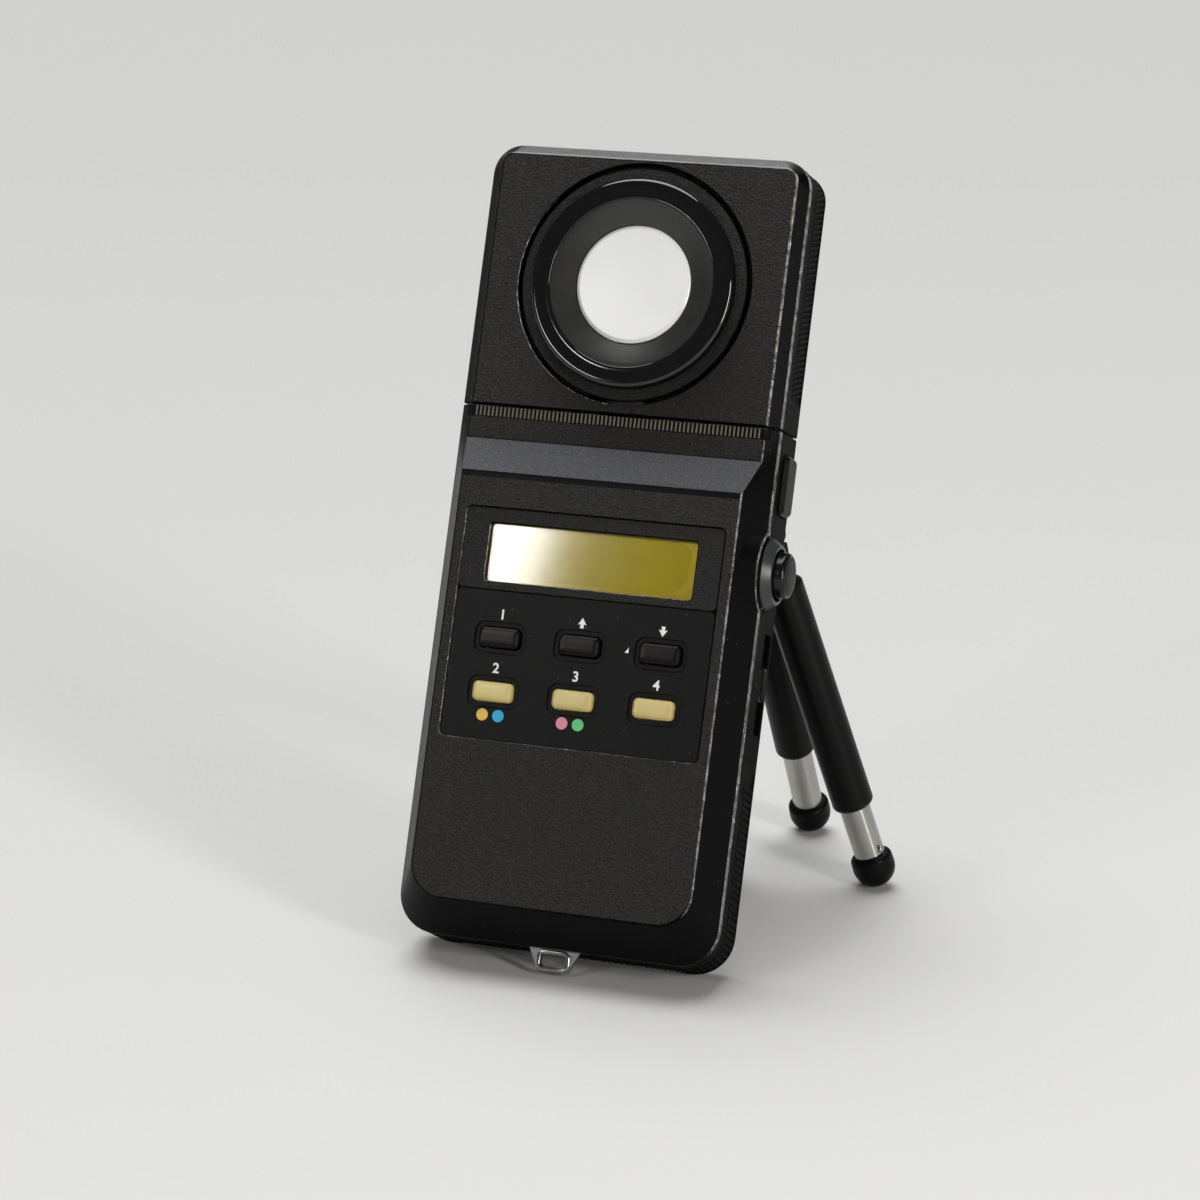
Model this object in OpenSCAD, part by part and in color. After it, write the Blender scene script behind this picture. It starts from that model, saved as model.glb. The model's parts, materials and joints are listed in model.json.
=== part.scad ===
// Hand-held colour meter with a swivelling receptor head, standing on a small folding tripod.
// The meter's own frame has X across, Y from front to back and Z up its length, with the
// origin at the middle of the lower end. in_pose() leans it back and sets it on the floor.

/* [Body] */
// Width over the shells' rims
body_w = 72; // [68:0.5:78]
// Height of the body, up to the head's joint
body_h = 114.4; // [112:0.2:122]
// Depth from the body's face to its back
body_d = 22.5; // [22:0.25:26]
// Depth of the front shells, from the body's face to the seam
seam_y = 8.6; // [8.4:0.1:9]
// Width of the groove along the seam
seam_groove = 0.4; // [0.3:0.1:0.6]
// Depth of the groove along the seam
seam_depth = 0.7; // [0.4:0.1:0.9]
// Wall of the shells' sides and back
wall = 1.8; // [1.5:0.1:2]
// Wall behind the front faces
face_wall = 2.4; // [2.2:0.1:2.6]
// Corner radius at the body's lower end
corner_r = 8.5; // [6:0.5:10]
// Corner radius of the body's face
face_corner_r = 7.5; // [5:0.5:9]
// How far each side of the face lies inside the rim
side_draft = 4.6; // [3.8:0.1:5]
// Height of the bevel under the face
chin_h = 7.7; // [6:0.1:8.5]
// Radius of the edge around the back
back_r = 2; // [1.2:0.1:2.4]
// How far the bottom drops from the seam to the back
heel_drop = 1.6; // [1:0.1:2]
// How far the body leans back from upright
lean = 22.2; // [18:0.2:24]

/* [Brow] */
// How far the head's face lies behind the body's face
brow_step = 5.5; // [5:0.1:5.8]
// Height of the flat brow under the joint
brow_h = 7.2; // [6.5:0.1:8]
// Height of the slope from the brow to the face
slope_h = 7.7; // [7:0.1:8.5]
// How far each side of the brow and the head's face lies inside the rim
brow_draft = 2.7; // [2.2:0.1:3.2]
// Height of the ribbed strip
strip_h = 2.1; // [1.6:0.1:2.6]
// Number of ribs on the strip
strip_ribs = 70; // [50:1:76]

/* [Head] */
// Height of the head above its joint
head_h = 57.6; // [57:0.2:62]
// Gap between head and body
swivel_gap = 0.3; // [0.2:0.05:0.4]
// Corner radius at the head's top
head_corner_r = 6.5; // [5:0.5:8]
// Corner radius of the head's face
head_face_corner_r = 2.5; // [1.5:0.1:4]
// Height of the bevel over the head's face
head_top_bevel = 2.2; // [1.6:0.1:2.8]
// Outer radius of the neck tube
neck_r = 4.6; // [4:0.1:4.9]
// Bore radius of the neck tube
neck_bore_r = 3.3; // [2.5:0.1:3.4]
// Thickness of the walls that the neck passes through
neck_wall = 2.4; // [2:0.1:2.6]

/* [Receptor] */
// Height of the receptor's centre above the joint
receptor_up = 28.3; // [28:0.1:29]
// Radius of the opening in the head's face
opening_r = 26.2; // [25.6:0.1:26.6]
// Width of the dark groove inside the opening
ring_groove = 1; // [0.7:0.1:1.3]
// Radius of the glossy ring at its foot
bezel_r = 22.9; // [22.3:0.1:23.3]
// Height of the glossy ring above the head's face
bezel_proud = 2.3; // [1.8:0.1:2.8]
// Inner radius of the glossy ring
rim_r = 18.3; // [17.6:0.1:19]
// Radius of the white disc
disc_r = 12.8; // [12:0.1:13.4]
// Height of the white disc's middle above the head's face
disc_proud = 0.5; // [0.3:0.1:0.8]
// Thickness of the white disc
disc_t = 2.4; // [2:0.1:2.6]
// Radius of the circle that the photocells lie on
cell_pitch_r = 6.5; // [6:0.1:7.5]
// Radius of a photocell
cell_r = 2.5; // [2:0.1:2.8]

/* [Panel] */
// Width of the recessed panel
panel_w = 58; // [56:0.5:60]
// Distance from the head's joint down to the panel's upper edge
panel_down = 22.6; // [22:0.1:23]
// Height of the key plate
key_plate_h = 31.8; // [31:0.1:32.4]
// Height of the display surround
surround_h = 17.4; // [17:0.1:17.8]
// Depth of the panel's recess
panel_recess = 1.2; // [1:0.1:1.3]
// Thickness of the key plate
plate_t = 0.9; // [0.7:0.1:1]
// Thickness of the display surround
surround_t = 1.05; // [0.9:0.05:1.1]
// Width of the visible display
display_w = 46.5; // [44:0.5:47]
// Height of the visible display
display_h = 12.4; // [11:0.1:12.8]
// Height of the display's centre above the panel's lower edge
display_up = 40.1; // [39.8:0.1:40.4]

/* [Keys] */
// Width of a key
key_w = 9; // [8:0.1:9.6]
// Height of a key
key_h = 4.2; // [3.6:0.1:4.6]
// Distance between key columns
key_pitch_x = 18; // [17:0.1:18.6]
// Height of the upper row's centre above the panel's lower edge
key_row_1 = 21.9; // [21.5:0.1:22.4]
// Height of the lower row's centre above the panel's lower edge
key_row_2 = 10.3; // [9.8:0.1:10.8]
// How far a key stands out of the body's face
key_proud = 0.9; // [0.6:0.1:1.2]
// Corner radius of a key
key_corner_r = 1.1; // [0.8:0.1:1.5]
// Travel of a key
key_travel = 0.8; // [0.5:0.1:0.9]
// Margin of the well around a key
well_margin = 1.2; // [0.8:0.1:1.4]
// Depth of the well around a key
well_depth = 0.45; // [0.3:0.05:0.55]

/* [Side controls] */
// Distance from the head's joint down to the measuring button's centre
button_down = 30.2; // [29:0.2:32]
// Depth of the measuring button's centre
button_y = 12; // [11.8:0.1:12.4]
// Radius of the measuring button's cap
button_r = 5; // [4.4:0.1:5.2]
// How far the cap stands out of the rim
button_proud = 5; // [4:0.2:5.6]
// Travel of the measuring button
button_travel = 1.2; // [0.8:0.1:1.4]
// Outer radius of the collar
collar_r = 7.6; // [7.2:0.1:7.8]
// How far the collar stands out of the rim
collar_proud = 1.6; // [1.2:0.1:2]
// Radius of the boss around the collar
boss_r = 8.3; // [8.1:0.1:8.6]
// Width of the raised lip around the boss
boss_lip = 0.9; // [0.6:0.1:1.2]
// Gap between the cap and the collar's mouth
button_gap = 0.7; // [0.4:0.1:0.9]
// Distance from the head's joint down to the slide switch's centre
slide_down = 53.4; // [53:0.2:54.4]
// Depth of the slide switch's centre
slide_y = 17.3; // [17:0.1:17.6]
// Length of the slide switch's pocket
slide_pocket_l = 21.4; // [20:0.2:22]
// Width of the slide switch's pocket
slide_pocket_w = 4.8; // [4.4:0.1:5]
// Length of the slide knob
slide_knob_l = 7.4; // [6:0.2:8]
// Travel of the slide knob either way
slide_travel = 5; // [4:0.2:5.6]
// Distance from the head's joint down to the terminal cover's centre
cover_down = 10.8; // [10.2:0.2:11.4]
// Length of the terminal cover
cover_l = 13.2; // [12:0.2:13.6]
// Width of the terminal cover
cover_w = 8; // [7:0.2:8.4]
// How far the terminal cover stands out
cover_proud = 1.2; // [0.8:0.1:1.6]

/* [Battery] */
// Length of the block battery without its terminals
battery_l = 46.4; // [45:0.2:47]
// Height of the block battery
battery_h = 26.5; // [25:0.5:27]
// Thickness of the block battery
battery_t = 17.3; // [16.6:0.1:17.4]
// Height of the battery's lower side
battery_z = 9.6; // [9.4:0.1:10]
// Width of the battery cover
lid_w = 50; // [48:0.2:52]
// Height of the battery cover's top edge
lid_top = 40; // [38.6:0.2:41]

/* [Inside] */
// Thickness of the circuit boards
board_t = 1.2; // [1:0.1:1.6]
// Depth of the main board's front
board_y = 6.2; // [6.1:0.05:6.3]
// Half the width of the main board
board_half = 26; // [25:0.2:26.2]
// Radius of the screw bosses
boss_outer_r = 2.4; // [2.2:0.1:2.6]
// Radius of the case screws' shanks
screw_r = 1.2; // [1:0.05:1.25]
// Radius of the case screws' heads
screw_head_r = 2.1; // [1.9:0.05:2.2]

/* [Strap eyelet] */
// Width of the eyelet at the body
eyelet_w = 11.3; // [10:0.1:12]
// Width of the eyelet's lower edge
eyelet_low_w = 7; // [6:0.1:8]
// Length of the eyelet below the body
eyelet_l = 4.9; // [4.4:0.1:5.4]
// Thickness of the eyelet
eyelet_t = 1.2; // [0.8:0.1:1.4]
// Width of the slot for the strap
eyelet_slot_w = 5.3; // [4.6:0.1:5.6]
// Height of the slot for the strap
eyelet_slot_h = 2.7; // [2:0.1:3]

/* [Stand] */
// Place of the tripod socket across the back
socket_x = 19.2; // [17:0.2:20]
// Distance from the head's joint down to the tripod socket
socket_down = 11.6; // [11:0.2:12.4]
// Radius of the stand's screw
stud_r = 3.1; // [2.9:0.05:3.15]
// Length of the stand's screw in the socket
stud_l = 5.5; // [4.5:0.1:5.8]
// Distance from the back to the ball's centre
stem_l = 12.3; // [12:0.1:13]
// Radius of the stem
stem_r = 2.2; // [1.8:0.1:2.3]
// Radius of the ball
ball_r = 5; // [4.6:0.1:5.2]
// Outer radius of the ball's cup
cup_r = 7.4; // [7:0.1:7.8]
// Radius of the clamp knob
clamp_knob_r = 4.2; // [3.6:0.1:4.6]
// Length of the clamp knob
clamp_knob_l = 5; // [4:0.1:6]
// Radius of the clamp screw
clamp_r = 1.5; // [1.2:0.1:1.8]
// Turn of the stand about its screw
stand_spin = -8.2; // [-10:0.2:-6]
// Tilt of the stand from the line of the back
stand_tilt = 34; // [32:0.5:36]
// Distance from the ball's centre down to the leg pivots
hub_drop = 14.8; // [14.4:0.1:15.4]
// Distance of a leg's pivot from the hub's axis
pivot_r = 8.4; // [8:0.1:9]
// Turn of the first leg about the hub's axis
leg_turn = -24.5; // [-27:0.5:-22]
// Spread of the legs from the hub's axis
leg_spread = 10; // [9:0.2:12]
// Radius of a leg's sleeve
sleeve_r = 4.7; // [4.3:0.1:4.9]
// Distance from the shortest leg's sleeve down to the centre of its foot
sleeve_up = 9.7; // [8:0.1:12]
// Radius of the sliding tube
tube_r = 3.45; // [3.2:0.05:3.6]
// Length of the sliding tube
tube_l = 46; // [40:0.5:48]
// Radius of the ball foot
foot_r = 4.85; // [4.6:0.05:5.1]
// Radius of a leg's pin
pin_r = 1; // [0.8:0.05:1.1]

/* [Fits] */
// Radial clearance of a turning or sliding fit
run_gap = 0.06; // [0.03:0.01:0.09]
// Gap between faces that pass each other
face_gap = 0.1; // [0.08:0.01:0.15]
// Gap around pieces that are dropped in place
drop_gap = 0.2; // [0.12:0.01:0.25]

/* [Hidden] */
$fn = 64;
skin = 0.01;
over = 1;
LEGS = [1, 2, 3];

// Outline of the shells
half_w = body_w / 2;
face_half = half_w - side_draft;
brow_half = half_w - brow_draft;
lip = 0.6;
rim_y = seam_y - lip;
crest_z = body_h - brow_h - slope_h;
brow_z = body_h - brow_h;
slope_run = slope_h / brow_step;
side_wall = wall * sqrt(1 + pow(side_draft / rim_y, 2));
chin_wall = wall * sqrt(1 + pow(chin_h / rim_y, 2));
rear_y = seam_y + seam_groove;
back_in = body_d - wall;
inner_top = body_h - neck_wall;

// Head
head_z = body_h + swivel_gap;
head_top = head_z + head_h;
swivel_y = (brow_step + body_d) / 2;
neck_flange_r = neck_r + 1.6;
neck_end = 1.4;
receptor_z = head_z + receptor_up;
insert_r = opening_r - ring_groove;
insert_flange_r = opening_r + 1.2;
insert_back = brow_step + face_wall + drop_gap + 1.2;
dish_y = brow_step - bezel_proud + 0.4;
holder_y = brow_step - disc_proud + disc_t + 0.35;
holder_t = 3.4;
sensor_y = holder_y + holder_t + 0.1;

// Places measured down from the head's joint
button_z = body_h - button_down;
slide_z = body_h - slide_down;
cover_z = body_h - cover_down;
socket_z = body_h - socket_down;

// Panel and keys
panel_h = key_plate_h + surround_h + 2 * drop_gap;
panel_z = body_h - panel_down - panel_h;
display_z = panel_z + display_up;
key_columns = [-key_pitch_x, 0, key_pitch_x];
key_rows = [panel_z + key_row_1, panel_z + key_row_2];
key_hole_gap = 0.25;
key_flange = 0.8;
key_flange_y = face_wall + drop_gap;
mat_t = 0.9;
mat_y = board_y - 0.1 - mat_t;
mat_side = 8;
mat_end = 4.6;
dome_y = key_flange_y + key_flange + key_travel + 0.2;

// Screw places, in the body and in the head
screw_in = 6.6;
screw_x = half_w - screw_in;
body_screw_places = [for (z = [slide_z - 15, body_h - 20.4], x = [-screw_x, screw_x]) [x, z]];
head_screw_places = [for (z = [head_z + 4.8, head_top - 5.3], x = [-screw_x, screw_x]) [x, z]];
screw_join_y = 14;
screw_head_h = 1.4;
screw_sink = 1.8;

// Battery bay, boards and what they carry
bay_wall_t = 1.2;
bay_half = lid_w / 2 + 2.4;
frame_half = display_w / 2 + 2.6;
sensor_half = rim_r + 1.7;
processor_size = 14;
processor_t = 2.4;
amplifier_w = 9.6;
amplifier_h = 6.2;
amplifier_t = 2;
amplifier_columns = [-18, -4, 8];
slide_switch_t = 5.4;
slide_switch_half = 9.6;
battery_pole_pitch = 12.7;
snap_t = 1.6;
snap_half = 6;

// Measuring button
boss_gap = 0.25;
button_seat = half_w - 3;
button_flange = 1.2;
switch_face = board_half - 0.4;

// Stand's flange, the ball's cup, and the forks that hold the legs
stand_flange_r = 7.6;
stand_flange_t = 2;
cup_low = -9;
cup_high = 3.2;
fork_high = 3.4;
fork_low = 2.4;
tongue_half = 1.5;
ear_t = 1.65;
tongue_r = 2.2;
sleeve_top = 4;
sleeve_plug = 5;

// Pose on the floor: the lowest point is on the rounded edge at the back
rest_z = (body_d - back_r) * sin(lean) - (back_r - heel_drop) * cos(lean) + back_r;

function turn_x(a, v) = [v.x, v.y * cos(a) - v.z * sin(a), v.y * sin(a) + v.z * cos(a)];
function turn_y(a, v) = [v.x * cos(a) + v.z * sin(a), v.y, v.z * cos(a) - v.x * sin(a)];
function turn_z(a, v) = [v.x * cos(a) - v.y * sin(a), v.x * sin(a) + v.y * cos(a), v.z];
ball_at = [socket_x, body_d + stem_l, socket_z];
function floor_place(v) = turn_x(-lean, v) + [0, 0, rest_z];
function stand_place(v) = floor_place(ball_at + turn_y(stand_spin, turn_x(stand_tilt, v)));
function leg_angle(i) = leg_turn + 120 * (i - 1);
function leg_place(i, v) = stand_place(
    [0, 0, -hub_drop] + turn_z(leg_angle(i), [pivot_r, 0, 0] + turn_y(-leg_spread, v)));
function leg_fall(i) = leg_place(i, [0, 0, 0]).z - leg_place(i, [0, 0, -1]).z;
function leg_length(i) = (leg_place(i, [0, 0, 0]).z - foot_r) / leg_fall(i);
function foot_place(i) = leg_place(i, [0, 0, -leg_length(i)]);
sleeve_l = min([for (i = LEGS) leg_length(i)]) - sleeve_up;

// Box of the whole object on the floor, for its origin
left_x = -half_w;
right_x = max([for (i = LEGS) foot_place(i).x + foot_r]);
front_y = chin_h * sin(lean);
back_y = max([for (i = LEGS) foot_place(i).y + foot_r]);
origin_x = (left_x + right_x) / 2;
origin_y = (front_y + back_y) / 2;

module in_pose() {
    translate([-origin_x, -origin_y, rest_z]) rotate([-lean, 0, 0]) children();
}
module in_stand() {
    in_pose() translate(ball_at) rotate([0, stand_spin, 0]) rotate([stand_tilt, 0, 0]) children();
}
module in_leg(i) {
    in_stand() translate([0, 0, -hub_drop]) rotate([0, 0, leg_angle(i)])
        translate([pivot_r, 0, 0]) rotate([0, -leg_spread, 0]) children();
}

// Outlines in the plane of the face
function corner(x, z, r, a) = r > 0
    ? [for (k = [0:6]) [x + r * cos(a + 15 * k), z + r * sin(a + 15 * k)]]
    : [[x, z]];
function outline(half, z0, z1, low_r, top_r) = concat(
    corner(half - low_r, z0 + low_r, low_r, -90),
    corner(half - top_r, z1 - top_r, top_r, 0),
    corner(-half + top_r, z1 - top_r, top_r, 90),
    corner(-half + low_r, z0 + low_r, low_r, 180));
function pad(half_x, half_z, r) = outline(half_x, -half_z, half_z, r, r);
module plate(y, t, points) {
    translate([0, y + t, 0]) rotate([90, 0, 0]) linear_extrude(t) polygon(points);
}
module box(x, y, z) {
    translate([x[0], y[0], z[0]]) cube([x[1] - x[0], y[1] - y[0], z[1] - z[0]]);
}
module rod_y(r, y0, y1) {
    translate([0, y1, 0]) rotate([90, 0, 0]) cylinder(r = r, h = y1 - y0);
}
module rod_x(r, x0, x1) {
    translate([x0, 0, 0]) rotate([0, 90, 0]) cylinder(r = r, h = x1 - x0);
}
// A round form about the receptor's axis, from points of radius and depth
module turned(points) {
    translate([0, 0, receptor_z]) rotate([-90, 0, 0]) rotate_extrude($fn = 96) polygon(points);
}

// Shell forms; s and f are the walls taken off the sides and off the face
module body_front_form(s, f, low, top_z) {
    inner_crest = crest_z + slope_run * f - f * sqrt(1 + slope_run * slope_run);
    inner_brow = brow_z + slope_run * f - f * sqrt(1 + slope_run * slope_run);
    face_w = face_half + side_draft * f / rim_y - s;
    face_z = chin_h * (1 - f / rim_y) + low;
    brow_w = brow_half + brow_draft * f / (rim_y - brow_step) - s;
    rim_r = max(corner_r - s, 1);
    end_y = f > 0 ? seam_y + skin : seam_y;
    hull() {
        plate(f, skin, outline(face_w, face_z, inner_crest, max(face_corner_r - s, 1), 0));
        plate(min(brow_step + f, rim_y), skin,
            outline(min(brow_w, half_w - s), low + 1, inner_brow, rim_r, 0));
        plate(max(rim_y, min(brow_step + f, rim_y)), end_y - rim_y,
            outline(half_w - s, low, inner_brow, rim_r, 0));
    }
    linear_extrude_between(inner_brow - 0.8, top_z) polygon([
        [-min(brow_w, half_w - s), min(brow_step + f, rim_y)],
        [min(brow_w, half_w - s), min(brow_step + f, rim_y)],
        [half_w - s, rim_y], [half_w - s, end_y], [-half_w + s, end_y], [-half_w + s, rim_y]
    ]);
}
module linear_extrude_between(z0, z1) {
    translate([0, 0, z0]) linear_extrude(z1 - z0) children();
}
module rear_form(z0, z1, low_r, top_r, heel) {
    steps = [0, lean, (lean + 90) / 2, 90];
    hull() {
        plate(rear_y, skin, outline(half_w, z0, z1, low_r, top_r));
        for (a = steps) {
            inset = back_r * (1 - cos(a));
            low = low_r > 0 ? z0 - heel + inset : z0;
            high = top_r > 0 ? z1 - inset : z1;
            y = body_d - back_r + back_r * sin(a) - skin;
            plate(y, skin, outline(half_w - inset, low, high,
                low_r > 0 ? low_r - inset : 0, top_r > 0 ? top_r - inset : 0));
        }
    }
}
module screw_boss(at, y0, y1, r) {
    translate([at[0], 0, at[1]]) rod_y(r, y0, y1);
}

module body_front_shell() {
    color("#1d1d1f") in_pose() difference() {
        union() {
            difference() {
                body_front_form(0, 0, 0, body_h);
                body_front_form(side_wall, face_wall, chin_wall, inner_top);
            }
            for (at = body_screw_places) screw_boss(at, face_wall - 0.8, screw_join_y, boss_outer_r);
            // Raised lip around the measuring button's boss
            intersection() {
                translate([0, button_y, button_z])
                    rod_x(boss_r + boss_gap + boss_lip, half_w - 4, half_w);
                box([0, half_w + over], [0, seam_y], [0, body_h]);
            }
        }
        // Recess of the panel, and the openings under it
        plate(-over, over + panel_recess, outline(panel_w / 2, panel_z, panel_z + panel_h, 1, 1));
        box([-display_w / 2 - 1.2, display_w / 2 + 1.2], [0, face_wall + over],
            [display_z - display_h / 2 - 1.2, display_z + display_h / 2 + 1.2]);
        for (x = key_columns, z = key_rows)
            box([x - key_w / 2 - key_hole_gap, x + key_w / 2 + key_hole_gap],
                [0, face_wall + 0.5],
                [z - key_h / 2 - key_hole_gap, z + key_h / 2 + key_hole_gap]);
        for (at = body_screw_places) screw_boss(at, face_wall + 1, screw_join_y + over, screw_r + 0.05);
        // Seat of the ribbed strip
        box([-brow_half - over, brow_half + over], [brow_step - over, brow_step + 1.2],
            [body_h - strip_h - 2 * drop_gap, body_h + over]);
        // Room for the measuring button's boss
        translate([0, button_y, button_z]) rod_x(boss_r + boss_gap, half_w - 6, half_w + over);
    }
}
module body_rear_shell() {
    color("#1b1b1d") in_pose() difference() {
        union() {
            difference() {
                union() {
                    rear_form(0, body_h, corner_r, 0, heel_drop);
                    plate(seam_y, seam_groove + skin, outline(half_w - seam_depth, seam_depth,
                        body_h - seam_depth, corner_r - seam_depth, 0));
                }
                plate(seam_y - over, back_in - seam_y + over,
                    outline(half_w - wall, wall, inner_top, corner_r - wall, 0.5));
            }
            // Wall over the battery bay
            box([-bay_half, bay_half], [rear_y, back_in + skin],
                [lid_top + 0.4, lid_top + 0.4 + bay_wall_t]);
            for (at = body_screw_places)
                screw_boss(at, screw_join_y, back_in + skin, boss_outer_r + 0.8);
            translate([socket_x, 0, socket_z]) rod_y(stud_r + 3.4, body_d - stud_l - 0.9, back_in + skin);
            translate([0, button_y, button_z]) rod_x(boss_r, half_w - 3, half_w + 0.3);
        }
        translate([0, swivel_y, inner_top - over])
            cylinder(r = neck_r + run_gap, h = neck_wall + 2 * over);
        // Battery opening
        box([-lid_w / 2 - drop_gap, lid_w / 2 + drop_gap], [back_in - skin, body_d + over],
            [-heel_drop - over, lid_top + drop_gap]);
        // Measuring button
        translate([0, button_y, button_z]) {
            rod_x(button_r + run_gap, half_w - 4, half_w + over);
            rod_x(collar_r + run_gap, half_w - 0.1, half_w + over);
        }
        // Pocket and slit of the slide switch
        box([half_w - 1, half_w + over],
            [slide_y - slide_pocket_w / 2, slide_y + slide_pocket_w / 2],
            [slide_z - slide_pocket_l / 2, slide_z + slide_pocket_l / 2]);
        box([half_w - wall - over, half_w + over], [slide_y - 0.7, slide_y + 0.7],
            [slide_z - slide_travel - 2, slide_z + slide_travel + 2]);
        // Seat of the terminal cover, and the way to the socket behind it
        box([half_w - 0.8, half_w + over], [cover_y0(), cover_y1()],
            [cover_z - cover_l / 2, cover_z + cover_l / 2]);
        translate([0, (cover_y0() + cover_y1()) / 2, cover_z]) rod_x(2.6, half_w - 3, half_w);
        // Tripod insert
        translate([socket_x, 0, socket_z]) rod_y(stud_r + 1.8, body_d - stud_l - 0.4, body_d + over);
        // Case screws and their heads
        for (at = body_screw_places) {
            screw_boss(at, screw_join_y - over, body_d + over, screw_r + 0.1);
            screw_boss(at, body_d - screw_sink - screw_head_h, body_d + over, screw_head_r + 0.1);
        }
        // Slot of the strap eyelet
        box([-eyelet_w / 2 - run_gap, eyelet_w / 2 + run_gap],
            [rear_y + drop_gap - run_gap, rear_y + drop_gap + eyelet_t + run_gap],
            [-heel_drop - over, wall + over]);
    }
}
function cover_y1() = body_d - back_r - 0.1;
function cover_y0() = cover_y1() - cover_w;

module ribbed_strip() {
    half = brow_half - 0.9;
    z1 = body_h - drop_gap;
    pitch = 2 * half / strip_ribs;
    color("#2a2a2b") in_pose() {
        box([-half, half], [brow_step + 0.45, brow_step + 1.2], [z1 - strip_h, z1]);
        for (k = [0:strip_ribs - 1])
            box([-half + pitch * (k + 0.22), -half + pitch * (k + 0.78)],
                [brow_step - 0.05, brow_step + 0.45 + skin], [z1 - strip_h, z1]);
    }
}
module key_plate() {
    y0 = panel_recess - plate_t;
    z0 = panel_z + drop_gap / 2;
    color("#232324") in_pose() difference() {
        plate(y0, plate_t, outline(panel_w / 2 - drop_gap / 2, z0, z0 + key_plate_h, 1, 0.3));
        for (x = key_columns, z = key_rows) {
            translate([x, 0, z]) plate(y0 - over, over + well_depth,
                pad(key_w / 2 + well_margin, key_h / 2 + well_margin,
                    key_corner_r + 0.8 * well_margin));
            translate([x, 0, z]) plate(y0 - over, plate_t + 2 * over,
                pad(key_w / 2 + key_hole_gap, key_h / 2 + key_hole_gap,
                    key_corner_r + key_hole_gap / 2));
        }
    }
}
module display_surround() {
    y0 = panel_recess - surround_t;
    z1 = panel_z + panel_h - drop_gap / 2;
    color("#29292a") in_pose() difference() {
        plate(y0, surround_t, outline(panel_w / 2 - drop_gap / 2, z1 - surround_h, z1, 0.3, 1));
        translate([0, 0, display_z]) plate(y0 - over, surround_t + 2 * over,
            pad(display_w / 2, display_h / 2, 0.8));
    }
}
module display_window() {
    color("#b9b27c", 0.5) in_pose() translate([0, 0, display_z])
        plate(panel_recess + 0.02, 0.95, pad(display_w / 2 + 1, display_h / 2 + 1, 0.8));
}
module lcd_glass() {
    color("#8c7a10") in_pose() translate([0, 0, display_z])
        box([-display_w / 2 - 1.1, display_w / 2 + 1.1], [face_wall + 0.3, face_wall + 2.2],
            [-display_h / 2 - 1.1, display_h / 2 + 1.1]);
}
module display_frame() {
    color("#d9d9d2") in_pose() translate([0, 0, display_z]) difference() {
        box([-frame_half, frame_half], [face_wall + drop_gap, board_y - 0.8],
            [-display_h / 2 - 2.7, display_h / 2 + 2.7]);
        box([-display_w / 2 - 1.2, display_w / 2 + 1.2], [face_wall, board_y],
            [-display_h / 2 - 1.2, display_h / 2 + 1.2]);
    }
}
module contact_strips() {
    color("#4a4a4c") in_pose() translate([0, 0, display_z]) for (s = [-1, 1])
        translate([0, 0, s * (display_h / 2 - 0.2)])
            box([-display_w / 2 + 1.5, display_w / 2 - 1.5], [face_wall + 2.25, board_y], [-0.7, 0.7]);
}
module key_mat() {
    color("#77797c") in_pose() {
        box([-key_pitch_x - mat_side, key_pitch_x + mat_side], [mat_y, mat_y + mat_t],
            [key_rows[1] - mat_end, key_rows[0] + mat_end]);
        for (x = key_columns, z = key_rows)
            translate([x, mat_y + skin, z]) rotate([90, 0, 0])
                cylinder(r1 = 2.4, r2 = 1.8, h = mat_y + skin - dome_y);
    }
}
module main_board() {
    color("#2f6b3f") in_pose() box([-board_half, board_half], [board_y, board_y + board_t],
        [lid_top + 3.6, crest_z + 3.3]);
}
module chip(x, z, w, h, y, t) {
    box([x - w / 2, x + w / 2], [y, y + t], [z - h / 2, z + h / 2]);
}
module processor_chip() {
    color("#161617") in_pose() chip(-8, key_rows[0] - 4, processor_size, processor_size,
        board_y + board_t, processor_t);
}
module amplifier_chips() {
    color("#161617") in_pose() for (x = amplifier_columns)
        chip(x, display_z + 8, amplifier_w, amplifier_h, board_y + board_t, amplifier_t);
}

module key(x, z, tone) {
    color(tone) in_pose() translate([x, 0, z]) {
        plate(-key_proud, key_proud + key_flange_y + skin, pad(key_w / 2, key_h / 2, key_corner_r));
        plate(key_flange_y, key_flange, pad(key_w / 2 + 0.9, key_h / 2 + 0.9, 0.5));
    }
}
module film_key() { key(key_columns[0], key_rows[0], "#131315"); }
module up_key() { key(key_columns[1], key_rows[0], "#131315"); }
module down_key() { key(key_columns[2], key_rows[0], "#131315"); }
module balance_key() { key(key_columns[0], key_rows[1], "#d6c68f"); }
module compensation_key() { key(key_columns[1], key_rows[1], "#d6c68f"); }
module kelvin_key() { key(key_columns[2], key_rows[1], "#d6c68f"); }

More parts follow.
